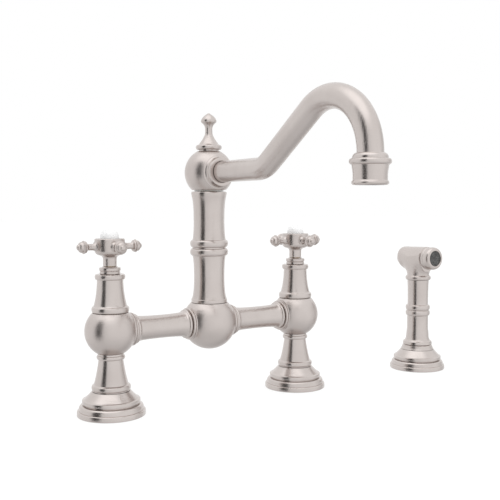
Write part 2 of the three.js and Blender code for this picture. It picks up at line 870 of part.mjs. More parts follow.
function columnSolid() {
  const c = column;
  const footTop = columnBottom + c.footHeight;
  const beadBottom = columnBottom + c.beadLevel;
  const beadTop = beadBottom + 2 * c.beadHeight + c.beadGroove;
  const headBottom = columnTop - c.headHeight;
  const postRoom = swivel.radius + seat;
  const postFloor = columnTop - swivel.engagement - seat;
  const outline = new Outline(c.boreRadius, columnBottom)
    .line(c.footRadius, columnBottom)
    .line(c.footRadius, footTop)
    .curve(c.lowerWaist, footTop + c.cove, c.lowerWaist, (footTop + beadBottom) / 2)
    .curve(c.lowerWaist, beadBottom - c.cove, c.beadRoot, beadBottom)
    .bead(c.beadBulge, c.beadHeight, 4)
    .line(c.beadRoot, beadBottom + c.beadHeight + c.beadGroove)
    .bead(c.beadBulge, c.beadHeight, 4)
    .curve(c.upperWaist, beadTop + c.cove, c.upperWaist, (beadTop + headBottom) / 2)
    .curve(c.upperWaist, headBottom - c.cove, c.headRadius - c.headEdge, headBottom)
    .line(c.headRadius, columnTop - c.headEdge)
    .line(c.headRadius - c.headEdge, columnTop)
    .line(postRoom, columnTop)
    .line(postRoom, postFloor)
    .line(c.boreRadius, postFloor);
  return turned(outline);
}

add('column', columnSolid(), nickel);

function swivelPostSolid() {
  const bottom = columnTop - swivel.engagement;
  const top = columnTop + swivel.height;
  const ringLevel = topBallBottom + oRing.level;
  const outline = new Outline(swivel.boreRadius, bottom).line(swivel.radius, bottom);
  [0, 1].forEach((index) => {
    const level = ringLevel + index * oRing.pitch;
    outline
      .line(swivel.radius, level)
      .line(swivel.radius - oRing.groove, level)
      .line(swivel.radius - oRing.groove, level + oRing.height)
      .line(swivel.radius, level + oRing.height);
  });
  outline.line(swivel.radius, top).line(swivel.boreRadius, top);
  return turned(outline);
}

add('swivel_post', swivelPostSolid(), brass);

const washerRing = ring(swivel.radius + seat, swivel.washerRadius, columnTop + seat, swivelWasherTop);
add('swivel_washer', washerRing, nylon);

[['lower', 0], ['upper', 1]].forEach(([name, index]) => {
  const level = topBallBottom + oRing.level + index * oRing.pitch + seat;
  const inner = swivel.radius - oRing.groove + seat;
  const band = ring(inner, swivel.radius + seat / 3, level, level + oRing.height - 2 * seat);
  add(`swivel_${name}_o_ring`, band, rubber);
});

// ---------------------------------------------------------------------------
// The top ball, its finial and the spout
// ---------------------------------------------------------------------------

const slope = THREE.MathUtils.degToRad(spout.slope);
const spoutRoot = forward.clone().applyAxisAngle(right, -slope);

function topBallSolid() {
  const t = topBall;
  const chamberRadius = roomFor(swivel.radius, runningGap);
  const chamberTop = columnTop + swivel.height + runningGap;
  const finialBore = finial.spigotRadius + seat;
  const finialFloor = topBallTop - finial.spigotLength - seat;
  const outline = new Outline(0, topBallBottom)
    .ball(spoutLevel, t.radius, topBallBottom, topBallTop, 2 * facets.ball)
    .line(finialBore, topBallTop)
    .line(finialBore, finialFloor)
    .line(0, finialFloor);
  const chamberBore = rod(chamberRadius, topBallBottom - overshoot, chamberTop);
  const at = [0, 0, spoutLevel];
  const past = t.radius + overshoot;
  const tubeBore = rod(roomFor(spout.radius, seat), spout.rootReach - seat, past, { along: spoutRoot, at });
  const port = rod(waterwayRadius, 0, spout.rootReach, { along: spoutRoot, at });
  const collarFloor = spoutCollar.reach - spoutCollar.depth;
  const collarSeat = rod(spoutCollar.radius + seat, collarFloor, past, { along: spoutRoot, at });
  return cut(turned(outline, { sides: facets.wide }), chamberBore, tubeBore, port, collarSeat);
}

function spoutCollarSolid() {
  const s = spoutCollar;
  const start = s.reach - s.depth + seat;
  const bore = roomFor(spout.radius, seat);
  const outline = new Outline(bore, start)
    .line(s.radius, start)
    .line(s.radius, s.reach - s.edge)
    .curve(s.radius, s.reach, s.lipRadius, s.reach)
    .line(bore, s.reach - s.dish);
  return turned(outline, { along: spoutRoot, at: [0, 0, spoutLevel] });
}

function finialSolid() {
  const f = finial;
  const bottom = topBallTop + seat;
  const grooveTop = bottom + f.grooveHeight;
  const ringTop = grooveTop + f.ringHeight;
  const coneTop = ringTop + f.coneHeight;
  const knobBottom = coneTop + f.stemHeight;
  const knobLevel = knobBottom + f.knobDrop;
  const tip = knobLevel + f.tipHeight;
  const outline = new Outline(0, bottom - f.spigotLength)
    .line(f.spigotRadius, bottom - f.spigotLength)
    .line(f.spigotRadius, bottom)
    .line(f.grooveRadius, bottom)
    .line(f.grooveRadius, grooveTop)
    .line(f.ringRadius, grooveTop)
    .bead(f.ringBulge, f.ringHeight)
    .line(f.coneRadius, ringTop)
    .line(f.coneRadius - f.coneStep, ringTop + f.coneStep)
    .curve(f.flareRadius, ringTop + f.coneHeight / 2, f.stemRadius, coneTop, 4)
    .line(f.stemRadius, knobBottom)
    .curve(f.shoulderRadius, knobBottom + f.knobDrop / 3, f.knobRadius, knobLevel, 3)
    .curve(f.shoulderRadius, knobLevel + (2 * f.tipHeight) / 3, f.tipRadius, tip - f.tipRadius / 2, 4)
    .line(0, tip);
  return turned(outline);
}

add('top_ball', topBallSolid(), nickel);
add('finial', finialSolid(), nickel);
add('spout_collar', spoutCollarSolid(), nickel);

// An arc in the plane of the spout, where (forward, height) = (x, y) of the curve.
class PlaneArc extends THREE.Curve {
  constructor(centre, radius, fromAngle, toAngle) {
    super();
    Object.assign(this, { centre, radius, fromAngle, toAngle });
  }

  getPoint(t, target = new THREE.Vector3()) {
    const angle = this.fromAngle + (this.toAngle - this.fromAngle) * t;
    const reach = this.centre.x + this.radius * Math.cos(angle);
    return target.set(0, -reach, this.centre.y + this.radius * Math.sin(angle));
  }
}

const inPlane = (point) => new THREE.Vector3(0, -point.x, point.y);
const heading = (angle) => new THREE.Vector2(Math.cos(angle), Math.sin(angle));
const normal = (angle) => new THREE.Vector2(-Math.sin(angle), Math.cos(angle));
const advance = (point, direction, length) => point.clone().addScaledVector(direction, length);

// The corners of the centre line, as (reach, height) in its plane.
const rise = THREE.MathUtils.degToRad(spout.rise);
const ballCentre = new THREE.Vector2(0, spoutLevel);
const tubeRoot = advance(ballCentre, heading(slope), spout.rootReach);
const bendStart = advance(ballCentre, heading(slope), spout.bendStart);
const bendCentre = advance(bendStart, normal(slope), spout.bendRadius);
const bendEnd = advance(bendCentre, normal(rise), -spout.bendRadius);
const risingReach = spout.reach - spout.archRadius * (1 + Math.sin(rise)) - bendEnd.x;
const archStart = advance(bendEnd, heading(rise), risingReach / Math.cos(rise));
const archCentre = advance(archStart, normal(rise), -spout.archRadius);
const archEnd = new THREE.Vector2(spout.reach, archCentre.y);
const outlet = new THREE.Vector2(spout.reach, archCentre.y - spout.drop);

// The nozzle hangs where the tube ends.
const nozzleTop = outlet.y + spout.entry;
const nozzleBottom = nozzleTop - nozzle.height;

// A nearly level run, a bend up, a straight rise, and an arch down to the nozzle.
function spoutCentreLine() {
  const path = new THREE.CurvePath();
  path.add(new THREE.LineCurve3(inPlane(tubeRoot), inPlane(bendStart)));
  path.add(new PlaneArc(bendCentre, spout.bendRadius, slope - Math.PI / 2, rise - Math.PI / 2));
  path.add(new THREE.LineCurve3(inPlane(bendEnd), inPlane(archStart)));
  path.add(new PlaneArc(archCentre, spout.archRadius, rise + Math.PI / 2, 0));
  path.add(new THREE.LineCurve3(inPlane(archEnd), inPlane(outlet)));
  return path;
}

function spoutTubeSolid() {
  const section = new THREE.Shape(circle(spout.radius, spout.sides));
  section.holes.push(new THREE.Path(circle(spout.radius - spout.wall, facets.fine).reverse()));
  const geometry = new THREE.ExtrudeGeometry(section, {
    steps: spout.steps,
    extrudePath: spoutCentreLine(),
    bevelEnabled: false,
  });
  return solidOf(geometry);
}

add('spout_tube', spoutTubeSolid(), nickel);

const outletAt = { at: [0, -spout.reach, 0] };

function nozzleSolid() {
  const n = nozzle;
  const lipTop = nozzleBottom + n.lipHeight;
  const coneBottom = nozzleTop - n.coneHeight;
  const ringBottom = coneBottom - n.ringHeight;
  const tubeRoom = roomFor(spout.radius, seat, facets.wide);
  const tubeFloor = nozzleTop - spout.entry - seat;
  const outline = new Outline(n.boreRadius, nozzleBottom)
    .line(n.lipRadius - n.edge, nozzleBottom)
    .line(n.lipRadius, nozzleBottom + n.edge)
    .curve(n.waistRadius, lipTop, n.waistRadius, lipTop + n.lipHeight)
    .line(n.waistRadius, ringBottom - n.edge)
    .line(n.ringRadius, ringBottom)
    .bead(n.ringBulge, n.ringHeight)
    .line(n.coneRadius, coneBottom)
    .curve(n.coneRadius, nozzleTop - n.edge, n.topRadius, nozzleTop)
    .line(tubeRoom, nozzleTop)
    .line(tubeRoom, tubeFloor)
    .line(waterwayRadius, tubeFloor)
    .line(waterwayRadius, tubeFloor - n.floor)
    .line(n.boreRadius, tubeFloor - n.floor);
  return turned(outline, { sides: facets.wide, ...outletAt });
}

add('nozzle', nozzleSolid(), nickel);

const aeratorBottom = nozzleBottom + aerator.recess;
const aeratorTop = aeratorBottom + aerator.height;
const aeratorInside = aerator.radius - aerator.wall;

add('aerator_housing', ring(aeratorInside, aerator.radius, aeratorBottom, aeratorTop, outletAt), darkPlastic);
const screenBottom = aeratorBottom + aerator.screenRecess;
const screenRadius = aeratorInside - seat;
add('aerator_screen', rod(screenRadius, screenBottom, screenBottom + aerator.screenHeight, outletAt), steel);
const washerBottom = aeratorTop + seat;
const aeratorWasher = ring(waterwayRadius, aerator.radius, washerBottom, washerBottom + aerator.washerHeight, outletAt);
add('aerator_washer', aeratorWasher, rubber);

// ---------------------------------------------------------------------------
// The side spray: its holder on the deck, the grip and the head with its thumb button
// ---------------------------------------------------------------------------

const spray = new THREE.Group();
spray.position.x = inletSpacing / 2 + sprayOffset;
faucet.add(spray);

const holderBottom = flange.height + seat;
const holderTop = holderBottom + holder.height;
const gripBottom = holderTop + seat;
const gripTop = gripBottom + grip.height;
const headBottom = gripTop + seat;
const headLevel = headBottom + sprayHead.axisHeight;

addFlange('spray', holder.boreRadius, spray);

const linerOuter = holder.boreRadius - seat;
const holderOutline = new Outline(holder.boreRadius, holderBottom)
  .line(holder.bottomRadius, holderBottom)
  .line(holder.bottomRadius, holderBottom + holder.edge)
  .line(holder.topRadius, holderTop)
  .line(holder.boreRadius, holderTop);
add('spray_holder', turned(holderOutline), nickel, spray);

const linerBottom = flange.height - flange.wall - liner.overhang;
const linerTop = holderTop - seat;
add('spray_liner', ring(linerOuter - liner.wall, linerOuter, linerBottom, linerTop), nylon, spray);

const sprayInletBottom = gripBottom - sprayInlet.drop;
const sprayInletTop = gripBottom + grip.boreRadius;
const inletOutline = new Outline(sprayInlet.boreRadius, sprayInletBottom)
  .line(sprayInlet.radius, sprayInletBottom)
  .line(sprayInlet.radius, gripBottom - seat)
  .line(grip.boreRadius - seat, gripBottom - seat)
  .line(grip.boreRadius - seat, sprayInletTop)
  .line(sprayInlet.boreRadius, sprayInletTop);
add('spray_inlet', turned(inletOutline), brass, spray);

function gripSolid() {
  const g = grip;
  const collarTop = gripBottom + g.collarHeight;
  const coveTop = collarTop + g.coveHeight;
  const ringBottom = gripBottom + g.ringLevel;
  const ringTop = ringBottom + 2 * g.ringWidth + g.ringGap;
  const outline = new Outline(g.boreRadius, gripBottom)
    .line(g.collarRadius, gripBottom)
    .line(g.collarRadius, collarTop - g.collarEdge)
    .line(g.collarRadius - g.collarEdge, collarTop)
    .curve(g.coveRadius, collarTop + g.collarEdge, g.coveRadius, coveTop)
    .line(g.gripRadius, coveTop + g.coveHeight)
    .line(g.gripRadius, ringBottom)
    .line(g.ringRadius, ringBottom)
    .bead(g.ringBulge, g.ringWidth)
    .line(g.ringRadius, ringBottom + g.ringWidth + g.ringGap)
    .bead(g.ringBulge, g.ringWidth)
    .line(g.waistRadius, ringTop + g.ringGap)
    .line(g.waistRadius, ringTop + g.coveHeight)
    .curve(g.waistRadius, gripTop - g.coveHeight, g.topRadius, gripTop)
    .line(g.boreRadius, gripTop);
  return turned(outline);
}

add('spray_grip', gripSolid(), nickel, spray);

const headAxis = forward.clone().applyAxisAngle(right, -THREE.MathUtils.degToRad(sprayHead.tilt));
const headAt = { along: headAxis, at: [0, 0, headLevel] };

function sprayHeadSolid() {
  const h = sprayHead;
  const collarTop = headBottom + h.collarHeight;
  const neck = new Outline(0, headBottom)
    .line(h.collarRadius, headBottom)
    .bead(h.collarBulge, h.collarHeight)
    .line(h.neckRadius, collarTop + h.neckStep)
    .line(h.neckRadius, headLevel)
    .line(0, headLevel);
  const barrel = new Outline(0, -h.rear)
    .line(h.rearRadius, -h.rear)
    .curve(h.radius, -h.rear, h.radius, h.rearRounding - h.rear, 4)
    .line(h.radius, h.front - h.grooveWidth)
    .line(h.grooveRadius, h.front - h.grooveWidth)
    .line(h.grooveRadius, h.front)
    .line(0, h.front);
  const body = join(turned(neck), turned(barrel, { sides: facets.wide, ...headAt }));
  const buttonFloor = -h.rear + button.depth + button.travel + seat;
  const buttonBore = rod(button.radius + runningGap, -h.rear - overshoot, buttonFloor, headAt);
  const through = rod(h.boreRadius, buttonFloor + h.backWall, h.front + overshoot, headAt);
  const stemBore = rod(button.stemRadius + runningGap, -h.rear, h.front, headAt);
  const feed = rod(grip.boreRadius, headBottom - overshoot, headLevel);
  return cut(body, through, buttonBore, stemBore, feed);
}

add('spray_head', sprayHeadSolid(), nickel, spray);

function bezelSolid() {
  const h = sprayHead;
  const start = h.front + seat;
  const end = start + h.bezelLength;
  const faceRoom = h.faceRadius + seat;
  const faceFloor = end - h.faceRecess - h.faceThickness - seat;
  const outline = new Outline(h.boreRadius, start)
    .line(h.bezelRadius - h.bezelEdge, start)
    .line(h.bezelRadius, start + h.bezelEdge)
    .line(h.bezelRadius, end - h.bezelRounding)
    .curve(h.bezelRadius, end, h.bezelLip, end, 3)
    .line(faceRoom, end - h.bezelEdge)
    .line(faceRoom, faceFloor)
    .line(h.boreRadius, faceFloor);
  return turned(outline, { sides: facets.wide, ...headAt });
}

add('spray_bezel', bezelSolid(), nickel, spray);

const faceBack = sprayHead.front + seat + sprayHead.bezelLength - sprayHead.faceRecess - sprayHead.faceThickness;
const face = rod(sprayHead.faceRadius, faceBack, faceBack + sprayHead.faceThickness, headAt);
add('spray_face', face, darkPlastic, spray);

function buttonSolid() {
  const rear = -sprayHead.rear;
  const inside = rear + button.depth;
  const outline = new Outline(0, rear - button.proud)
    .curve(button.radius, rear - button.proud, button.radius, rear - button.edge, 4)
    .line(button.radius, inside)
    .line(button.stemRadius, inside)
    .line(button.stemRadius, inside + button.stemLength)
    .line(0, inside + button.stemLength);
  return turned(outline, headAt);
}

add('spray_button', buttonSolid(), nickel, spray);

export default faucet;
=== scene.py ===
# %% [markdown]
# # A bridge kitchen faucet with a side spray
#
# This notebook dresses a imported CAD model: the frame gives every piece its place, and Blender
# gives it its smooth turned surfaces and its finish. Nearly everything on the real object is
# turned on a lathe, so nearly everything here starts as an outline that is spun round an axis.

import json
import math

import bmesh
import bpy
from mathutils import Matrix, Vector


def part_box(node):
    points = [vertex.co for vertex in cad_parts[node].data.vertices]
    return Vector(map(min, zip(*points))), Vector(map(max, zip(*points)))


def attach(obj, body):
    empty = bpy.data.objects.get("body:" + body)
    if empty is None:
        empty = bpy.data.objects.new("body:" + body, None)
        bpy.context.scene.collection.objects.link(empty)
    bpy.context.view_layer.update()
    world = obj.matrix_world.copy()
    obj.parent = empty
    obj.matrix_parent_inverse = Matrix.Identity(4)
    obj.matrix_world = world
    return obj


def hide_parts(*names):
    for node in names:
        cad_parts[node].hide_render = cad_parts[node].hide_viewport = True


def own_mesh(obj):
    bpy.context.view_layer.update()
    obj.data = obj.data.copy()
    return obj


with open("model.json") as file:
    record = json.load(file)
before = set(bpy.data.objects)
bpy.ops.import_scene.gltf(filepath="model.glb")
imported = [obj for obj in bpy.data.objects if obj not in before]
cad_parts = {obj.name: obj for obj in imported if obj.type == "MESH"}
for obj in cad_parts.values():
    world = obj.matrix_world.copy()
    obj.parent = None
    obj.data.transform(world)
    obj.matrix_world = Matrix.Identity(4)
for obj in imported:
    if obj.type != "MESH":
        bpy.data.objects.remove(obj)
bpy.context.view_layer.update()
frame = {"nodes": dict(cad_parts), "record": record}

# %% [markdown]
# ## The camera
#
# The photograph was taken a little above the deck, from the left of the spout. A plain
# perspective camera stands there. Its shift is half a pixel, because the optical axis of the
# photograph passes just beside the middle of the frame.

# %% Camera
FRAME_PIXELS = 500
SENSOR = 36.0
FOCAL_PIXELS = 804.54
CAMERA_PLACE = (-0.3823, -0.6677, 0.1933)
CAMERA_TURN = math.radians(-32.743)
CAMERA_DIP = math.radians(3.645)
HALF_PIXEL = 0.5 / FRAME_PIXELS

camera_data = bpy.data.cameras.new("camera")
camera_data.sensor_width = SENSOR
camera_data.lens = FOCAL_PIXELS * SENSOR / FRAME_PIXELS
camera_data.shift_x = -HALF_PIXEL
camera_data.shift_y = HALF_PIXEL
camera = bpy.data.objects.new("camera", camera_data)
camera.location = CAMERA_PLACE
camera.rotation_euler = (math.pi / 2 - CAMERA_DIP, 0, CAMERA_TURN)
bpy.context.scene.collection.objects.link(camera)
bpy.context.scene.camera = camera
print("lens:", round(camera_data.lens, 2), "mm")

# %% [markdown]
# ## Outlines
#
# A turner works from an outline: straight runs, coves, half-round beads and parts of a ball.
# The class below draws such an outline in millimetres, as radius against height. It could also
# be drawn as a curve object, but plain numbers keep every moulding easy to read and to change.

# %% Outline
MM = 0.001
SEAT = 0.3  # gap between two pieces that rest on each other, as in the CAD


class Outline:
    """Radius against height of a turned piece, drawn up its outside and closed down its bore."""

    def __init__(self, radius, height):
        self.points = [(radius, height)]
        self.roundings = {}

    def line(self, radius, height, rounding=0.0):
        self.points.append((radius, height))
        if rounding:
            self.roundings[len(self.points) - 1] = rounding
        return self

    def step(self, radius, height):
        """Straight across to a radius, then straight along it to a height."""
        return self.line(radius, self.points[-1][1]).line(radius, height)

    def curve(self, corner_radius, corner_height, radius, height, steps=12):
        start_radius, start_height = self.points[-1]
        for i in range(1, steps + 1):
            t = i / steps
            a, b, c = (1 - t) ** 2, 2 * t * (1 - t), t * t
            self.line(
                a * start_radius + b * corner_radius + c * radius,
                a * start_height + b * corner_height + c * height,
            )
        return self

    def bead(self, bulge, height, steps=14):
        radius, bottom = self.points[-1]
        for i in range(1, steps + 1):
            angle = math.pi * (i / steps - 0.5)
            self.line(radius + bulge * math.cos(angle), bottom + height / 2 * (1 + math.sin(angle)))
        return self

    def ball(self, radius, start, end, steps=40):
        first, last = math.asin(start / radius), math.asin(end / radius)
        for i in range(steps + 1):
            angle = first + (last - first) * i / steps
            self.line(radius * math.cos(angle), radius * math.sin(angle))
        return self


def ring_outline(inner, outer, start, end, rounding=0.0):
    outline = Outline(inner, start).line(outer, start, rounding)
    return outline.line(outer, end, rounding).line(inner, end)


def flat_height(ball_radius, flat_radius):
    """Height of a round flat of a given radius above the middle of a ball."""
    return math.sqrt(ball_radius**2 - flat_radius**2)


# %% [markdown]
# ## Turning
#
# The outline becomes a ring of edges in a bmesh. A vertex bevel rounds the corners that a
# turner would break with a file, and one full spin makes the solid. The other way is the Screw
# modifier, but a spun mesh can be joined and cut with other turned pieces at once.

# %% Turning and joining
SIDES = 96
SHARP = math.radians(32)
SAME_POINT = 1e-7  # metres; corners nearer than this are one in a spun piece
WELD = 2e-6  # metres; the same after a cut, which is less exact
UP = Vector((0, 0, 1))


def new_piece(name, bm):
    mesh = bpy.data.meshes.new(name)
    bm.to_mesh(mesh)
    bm.free()
    piece = bpy.data.objects.new(name, mesh)
    bpy.context.scene.collection.objects.link(piece)
    return smooth(piece)


def smooth(piece):
    piece.data.shade_smooth()
    piece.data.set_sharp_from_angle(angle=SHARP)
    return piece


def placing(at, along):
    """The matrix that stands an upright shape on a point in millimetres, along a direction."""
    return Matrix.Translation(Vector(at) * MM) @ UP.rotation_difference(along).to_matrix().to_4x4()


def open_edges(bm):
    return [edge for edge in bm.edges if edge.is_boundary]


def turned(name, outline, at=(0, 0, 0), along=UP, sides=SIDES):
    """A solid turned round an axis through a point, which is given in millimetres."""
    bm = bmesh.new()
    corners = [bm.verts.new((radius * MM, 0, height * MM)) for radius, height in outline.points]
    for one, other in zip(corners, corners[1:]):
        bm.edges.new((one, other))
    if outline.points[0][0] > 0:
        bm.edges.new((corners[-1], corners[0]))
    for index, size in outline.roundings.items():
        bmesh.ops.bevel(bm, geom=[corners[index]], offset=size * MM, segments=3, profile=0.5,
                        affect="VERTICES", clamp_overlap=True, material=-1)
    bmesh.ops.spin(bm, geom=bm.verts[:] + bm.edges[:], cent=(0, 0, 0), axis=UP,
                   angle=2 * math.pi, steps=sides, use_merge=True)
    bmesh.ops.remove_doubles(bm, verts=bm.verts, dist=SAME_POINT)
    bmesh.ops.recalc_face_normals(bm, faces=bm.faces)
    bmesh.ops.transform(bm, matrix=placing(at, along), verts=bm.verts)
    return new_piece(name, bm)


def joined(piece, others, operation="UNION"):
    """Joins other solids to a piece, or cuts them out of it, and removes them.

    A cut can leave slivers and pinholes, so corners are welded and pinholes are filled.
    """
    for other in others:
        modifier = piece.modifiers.new(other.name, "BOOLEAN")
        modifier.operation = operation
        modifier.solver = "EXACT"
        modifier.object = other
    bpy.context.view_layer.update()
    evaluated = piece.evaluated_get(bpy.context.evaluated_depsgraph_get())
    mesh = bpy.data.meshes.new_from_object(evaluated)
    piece.modifiers.clear()
    piece.data = mesh
    mesh.name = piece.name
    bm = bmesh.new()
    bm.from_mesh(mesh)
    bmesh.ops.remove_doubles(bm, verts=bm.verts, dist=WELD)
    bmesh.ops.dissolve_degenerate(bm, edges=bm.edges, dist=WELD)
    bmesh.ops.holes_fill(bm, edges=open_edges(bm), sides=4)
    bmesh.ops.recalc_face_normals(bm, faces=bm.faces)
    bm.to_mesh(mesh)
    bm.free()
    for other in others:
        bpy.data.objects.remove(other)
    return smooth(piece)


def low(node):
    """The lowest point of a node, in millimetres above the deck."""
    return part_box(node)[0].z / MM


def axis_of(node):
    """Where the upright axis of a node stands, in millimetres."""
    lowest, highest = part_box(node)
    return (lowest.x + highest.x) / 2 / MM, (lowest.y + highest.y) / 2 / MM


# %% [markdown]
# ## Finishes
#
# Three effects are shared by the finishes and made once as node groups. "Brushed grain" gives
# the fine lines that an abrasive belt leaves; "soft clouds" gives the slow change of tone where
# hands and water have been; "fine grain" gives the tooth of moulded plastic and cast rubber. One
# function puts them together, and the metals and moulded stuffs differ only in its settings.

# %% Shared effects
def add_node(tree, kind, inputs):
    """A shader node whose inputs are each linked to a socket or set to a value."""
    node = tree.nodes.new(kind)
    for label, value in inputs.items():
        if isinstance(value, bpy.types.NodeSocket):
            tree.links.new(value, node.inputs[label])
        else:
            node.inputs[label].default_value = value
    return node


def noise_group(name, detail):
    """Noise between a low and a high value, which can be drawn out along chosen directions."""
    group = bpy.data.node_groups.new(name, "ShaderNodeTree")
    for label, kind, value in (("Stretch", "NodeSocketVector", (1.0, 1.0, 1.0)),
                               ("Scale", "NodeSocketFloat", 100.0),
                               ("Low", "NodeSocketFloat", 0.0),
                               ("High", "NodeSocketFloat", 1.0)):
        socket = group.interface.new_socket(label, in_out="INPUT", socket_type=kind)
        socket.default_value = value
    group.interface.new_socket("Vector", in_out="INPUT", socket_type="NodeSocketVector")
    group.interface.new_socket("Value", in_out="OUTPUT", socket_type="NodeSocketFloat")
    given = group.nodes.new("NodeGroupInput").outputs
    stretch = add_node(group, "ShaderNodeVectorMath", {0: given["Vector"], 1: given["Stretch"]})
    stretch.operation = "MULTIPLY"
    noise = add_node(group, "ShaderNodeTexNoise", {
        "Vector": stretch.outputs["Vector"], "Scale": given["Scale"],
        "Detail": detail, "Roughness": 0.55})
    spread = add_node(group, "ShaderNodeMapRange", {
        "Value": noise.outputs["Fac"], "From Min": 0.3, "From Max": 0.7,
        "To Min": given["Low"], "To Max": given["High"]})
    add_node(group, "NodeGroupOutput", {"Value": spread.outputs["Result"]})
    return group


brushed_grain = noise_group("brushed grain", detail=3.0)
soft_clouds = noise_group("soft clouds", detail=2.0)
fine_grain = noise_group("fine grain", detail=2.0)


def add_group(tree, group, coordinates, **values):
    node = tree.nodes.new("ShaderNodeGroup")
    node.node_tree = group
    tree.links.new(coordinates, node.inputs["Vector"])
    for label, value in values.items():
        node.inputs[label].default_value = value
    return node.outputs["Value"]


def tint(tree, shader, value, one, other):
    """Base Color between two colours, by a value that changes over the surface."""
    mix = add_node(tree, "ShaderNodeMix", {0: value, 6: (*one, 1), 7: (*other, 1)})
    mix.data_type = "RGBA"
    tree.links.new(mix.outputs[2], shader.inputs["Base Color"])


def bump(tree, shader, height, strength, distance):
    node = add_node(tree, "ShaderNodeBump",
                    {"Height": height, "Strength": strength, "Distance": distance})
    tree.links.new(node.outputs["Normal"], shader.inputs["Normal"])


def finish(name, dark, light, roughness, grain_group, grain, depth, strength=0.5, clouds=55.0,
           haze_scale=140.0, haze=(0.88, 1.15), **constants):
    """Tone and roughness change slowly over the surface, and a grain shows as bump."""
    material = bpy.data.materials.new(name)
    material.use_nodes = True
    tree = material.node_tree
    shader = tree.nodes["Principled BSDF"]
    shader.inputs["Roughness"].default_value = roughness
    for label, value in constants.items():
        shader.inputs[label.replace("_", " ")].default_value = value
    coordinates = tree.nodes.new("ShaderNodeTexCoord").outputs["Object"]
    tint(tree, shader, add_group(tree, soft_clouds, coordinates, Scale=clouds), dark, light)
    least, most = (roughness * factor for factor in haze)
    hazy = add_group(tree, soft_clouds, coordinates, Scale=haze_scale, Low=least, High=most)
    tree.links.new(hazy, shader.inputs["Roughness"])
    bump(tree, shader, add_group(tree, grain_group, coordinates, **grain), strength, depth)
    return material


# %% [markdown]
# ## Metals
#
# Satin nickel is a warm, slightly pink grey metal. Its lines run round the lathe's axis, so the
# grain changes fast along that axis and slowly across it, and each axis has its own material.
# A single anisotropic shader would be shorter, but it shows no lines when one looks closely.

# %% Metals
BRUSHED = {"depth": 0.00008, "clouds": 38.0, "haze_scale": 114.0, "haze": (0.9, 1.12)}
LINES = 2600.0


def metal(name, dark, light, roughness, stretch):
    return finish(name, dark, light, roughness, brushed_grain,
                  {"Scale": LINES, "Stretch": stretch}, Metallic=1.0, **BRUSHED)


ROUND_X, ROUND_Y, ROUND_Z = (1.0, 0.02, 0.02), (0.02, 1.0, 0.02), (0.02, 0.02, 1.0)
NICKEL = {"dark": (0.60, 0.545, 0.52), "light": (0.64, 0.585, 0.56), "roughness": 0.24}
nickel_upright = metal("satin nickel, upright", stretch=ROUND_Z, **NICKEL)
nickel_bridge = metal("satin nickel, along the bridge", stretch=ROUND_X, **NICKEL)
nickel_forward = metal("satin nickel, along the spout", stretch=ROUND_Y, **NICKEL)
nickel_ball = metal("satin nickel, balls", stretch=ROUND_Z, **{**NICKEL, "roughness": 0.31})
nickel_cast = metal("satin nickel, hand finished", stretch=(0.4, 0.4, 1.0), **NICKEL)
brass = metal("machined brass", (0.58, 0.40, 0.16), (0.68, 0.49, 0.21), 0.3, ROUND_Z)
steel = metal("stainless steel", (0.52, 0.53, 0.54), (0.62, 0.62, 0.62), 0.28, ROUND_Z)
print("metals:", [m.name for m in bpy.data.materials])

# %% [markdown]
# ## Porcelain, ceramic, rubber and plastic
#
# The caps of the handles are glazed: a smooth coat lies over a slightly wavy white body. The
# discs are lapped ceramic. Rubber and plastic scatter light from a fine moulded tooth.

# %% Porcelain, ceramic, rubber and plastic
def moulded(name, dark, light, roughness, tooth=5200.0, depth=0.00004, **settings):
    return finish(name, dark, light, roughness, fine_grain, {"Scale": tooth}, depth, **settings)


porcelain = moulded("glazed porcelain", (0.89, 0.895, 0.90), (0.92, 0.92, 0.92), 0.16,
                    tooth=90.0, depth=0.00002, strength=0.2, Coat_Weight=0.7, Coat_Roughness=0.05)
ceramic = moulded("lapped ceramic", (0.80, 0.76, 0.68), (0.86, 0.82, 0.74), 0.32, tooth=2400.0)
rubber = moulded("black rubber", (0.018, 0.018, 0.018), (0.035, 0.035, 0.034), 0.72)
nylon = moulded("white nylon", (0.74, 0.74, 0.71), (0.80, 0.80, 0.77), 0.5)
dark_plastic = moulded("dark plastic", (0.045, 0.045, 0.045), (0.105, 0.104, 0.102), 0.42,
                       clouds=260.0)

# %% [markdown]
# ## Dressing
#
# Each new piece takes the place of one node of the CAD, rides on that node's body and takes the
# finish it is given. One helper does all three, so that nothing is forgotten. A second one turns a
# piece first, and stands it on the foot of its CAD solid when it isn't told where else.

# %% Dress a piece
SLOT_OF = {part["node"]: part["material_slot"] for part in frame["record"]["subparts"]}
BODIES = frame["record"]["behaviour"]["bodies"]
BODY_OF = {node: body for body, nodes in BODIES.items() for node in nodes}


def dress(piece, node, material):
    piece.data.materials.clear()
    piece.data.materials.append(material)
    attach(piece, BODY_OF[node])
    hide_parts(node)
    return piece


def lathe(node, outline, material, **place):
    """A turned piece for one node, dressed."""
    place = place or {"at": (*axis_of(node), low(node))}
    return dress(turned(f"{node}_turned", outline, **place), node, material)


# %% [markdown]
# ## Deck flanges
#
# The two pillars and the side spray stand on turned flanges of one pattern: a rounded rim, a
# stepped ring, a shadow groove and a throat that curves up to the piece above. The underside is
# hollow and holds a rubber gasket. The spray's flange is a little fuller above its groove.

# %% Flanges and gaskets
GASKET_INNER, GASKET_OUTER, GASKET_HEIGHT = 19.0, 28.4, 2.0
FLANGE_RADIUS, FLANGE_TOP, HOLLOW_RADIUS, HOLLOW_TOP = 30.6, 22.0, 25.4, 8.4
LEG_BORE, HOLDER_BORE, SPRAY_FULLER = 10.5, 11.6, 1.1


